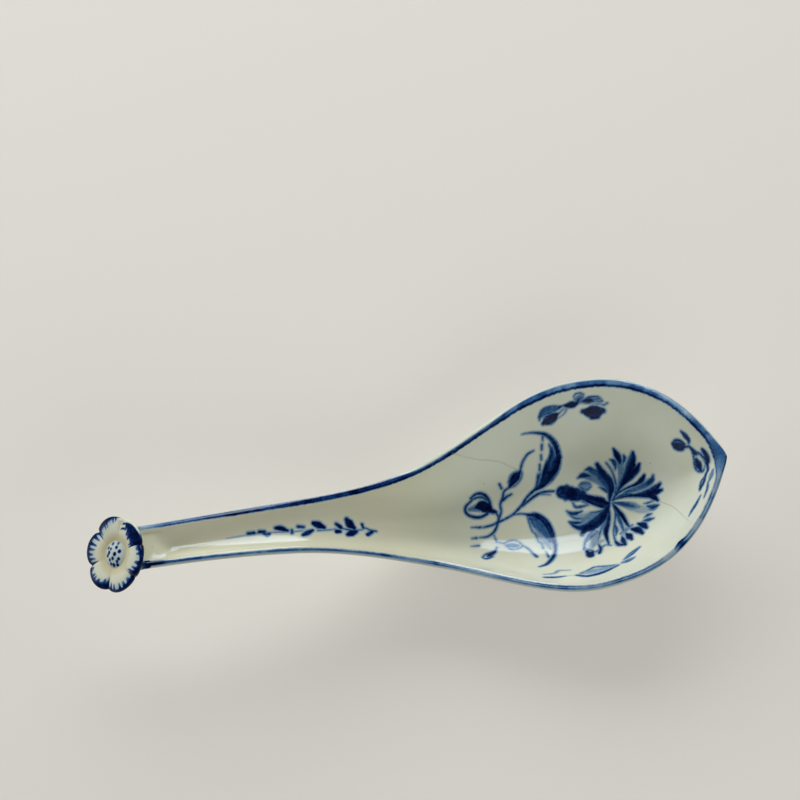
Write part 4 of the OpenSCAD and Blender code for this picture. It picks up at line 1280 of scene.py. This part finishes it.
class SPOON_OT_stage(bpy.types.Operator):
    """Make the floor, the light and the camera"""
    bl_idname = "spoon.stage"
    bl_label = "Stage"

    # Place and size of each soft box, in metres, and its colour. The streak only shows in the
    # glaze, and the others don't show there.
    BOXES = {"key": ((0.07, 0.58, 0.39), (0.75, 0.38), (1, 1, 1)),
             "side": ((-0.53, 0.36, 0.28), (0.75, 0.28), (1, 1, 1)),
             "front": ((0.22, -0.55, 0.37), (0.75, 0.28), (1, 1, 1)),
             "streak": ((0.16, 0.56, 0.41), (0.21, 0.66), (0.67, 0.81, 0.97))}
    FLOOR_SIZE = 4
    FLOOR_DROP = 0.00005
    FLOOR_GLOW = 0.45
    VIEW_DEPTH = 10

    def add_floor(self, stage):
        """A floor that shows pale to the camera and in reflections, and takes the shadow."""
        deselect_all()
        bpy.ops.mesh.primitive_plane_add(size=self.FLOOR_SIZE, location=(0, 0, -self.FLOOR_DROP))
        floor = bpy.context.object
        floor.name = "floor"
        material = bpy.data.materials.new("Pale floor")
        material.use_nodes = True
        nodes = Nodes(material.node_tree)
        shader = material.node_tree.nodes["Principled BSDF"]
        shader.inputs["Base Color"].default_value = (*stage.floor, 1)
        shader.inputs["Roughness"].default_value = 0.8
        glow = nodes.add("ShaderNodeEmission")
        glow.inputs["Color"].default_value = (*stage.floor, 1)
        rays = nodes.add("ShaderNodeLightPath").outputs
        seen = nodes.math("MAXIMUM", rays["Is Camera Ray"], rays["Is Glossy Ray"])
        seen = nodes.math("MAXIMUM", seen, rays["Is Transmission Ray"])
        blend = nodes.add("ShaderNodeMixShader")
        nodes.link(nodes.math("MULTIPLY", seen, self.FLOOR_GLOW), blend.inputs["Fac"])
        nodes.link(shader.outputs["BSDF"], blend.inputs[1])
        nodes.link(glow.outputs["Emission"], blend.inputs[2])
        output = material.node_tree.nodes["Material Output"]
        nodes.link(blend.outputs["Shader"], output.inputs["Surface"])
        floor.data.materials.append(material)

    def add_light(self, name, place, size, power):
        """A soft box at this place, in metres, that looks at the spoon."""
        deselect_all()
        place = Vector(place)
        bpy.ops.object.light_add(type="AREA", location=place)
        light = bpy.context.object
        light.name = name
        light.rotation_euler = (-place).to_track_quat("-Z", "Y").to_euler()
        light.data.shape = "RECTANGLE"
        light.data.size, light.data.size_y = size
        light.data.energy = power
        return light

    def add_sky(self, stage):
        """Even light from all round."""
        world = bpy.data.worlds.new("Studio")
        bpy.context.scene.world = world
        world.use_nodes = True
        sky = world.node_tree.nodes["Background"].inputs
        sky["Color"].default_value = (1, 1, 1, 1)
        sky["Strength"].default_value = stage.sky

    def add_camera(self, stage):
        """A camera at the stage's angles, far off, so that the picture is nearly parallel."""
        a, e = stage.azimuth, stage.elevation
        right = Vector((math.cos(a), math.sin(a), 0))
        up = Vector((-math.sin(a) * math.sin(e), math.cos(a) * math.sin(e), math.cos(e)))
        back = right.cross(up)
        place = right * stage.aim_right + up * stage.aim_up + back * stage.distance
        bpy.ops.object.camera_add(location=place)
        camera = bpy.context.object
        camera.rotation_euler = Matrix((right, up, back)).transposed().to_euler()
        camera.data.lens = camera.data.sensor_width * stage.distance / stage.view_width
        camera.data.clip_end = self.VIEW_DEPTH
        bpy.context.scene.camera = camera

    def execute(self, context):
        stage = context.scene.stage_settings
        self.add_floor(stage)
        for name, (place, size, tint) in self.BOXES.items():
            box = self.add_light(f"{name}_box", place, size, getattr(stage, f"{name}_power"))
            box.data.color = tint
            box.visible_glossy = name == "streak"
            box.visible_diffuse = name != "streak"
        self.add_sky(stage)
        self.add_camera(stage)
        context.scene.view_settings.view_transform = "Standard"
        return {"FINISHED"}


class SPOON_PT_panel(bpy.types.Panel):
    """Lists the spoon's pieces and settings"""
    bl_label = "Rice serving spoon"
    bl_idname = "SPOON_PT_panel"
    bl_space_type = "VIEW_3D"
    bl_region_type = "UI"
    bl_category = "Spoon"

    def draw(self, context):
        for operator in OPERATORS:
            self.layout.operator(operator.bl_idname)
        for group in SETTINGS:
            settings = getattr(context.scene, group)
            for name in settings.__annotations__:
                self.layout.prop(settings, name)


OPERATORS = (SPOON_OT_body, SPOON_OT_calyx, SPOON_OT_petals, SPOON_OT_boss, SPOON_OT_stage)
SETTINGS = {"spoon_sizes": SpoonSizes, "flower_sizes": FlowerSizes,
            "glaze_colours": GlazeColours, "stage_settings": StageSettings}


def register():
    for name, group in SETTINGS.items():
        bpy.utils.register_class(group)
        setattr(bpy.types.Scene, name, PointerProperty(type=group))
    for operator in OPERATORS:
        bpy.utils.register_class(operator)
    bpy.utils.register_class(SPOON_PT_panel)


def unregister():
    bpy.utils.unregister_class(SPOON_PT_panel)
    for operator in reversed(OPERATORS):
        bpy.utils.unregister_class(operator)
    for name, group in SETTINGS.items():
        delattr(bpy.types.Scene, name)
        bpy.utils.unregister_class(group)


def main():
    register()
    bpy.ops.spoon.body()
    bpy.ops.spoon.calyx()
    bpy.ops.spoon.petals()
    bpy.ops.spoon.boss()
    bpy.ops.spoon.stage()


if __name__ == "__main__":
    main()
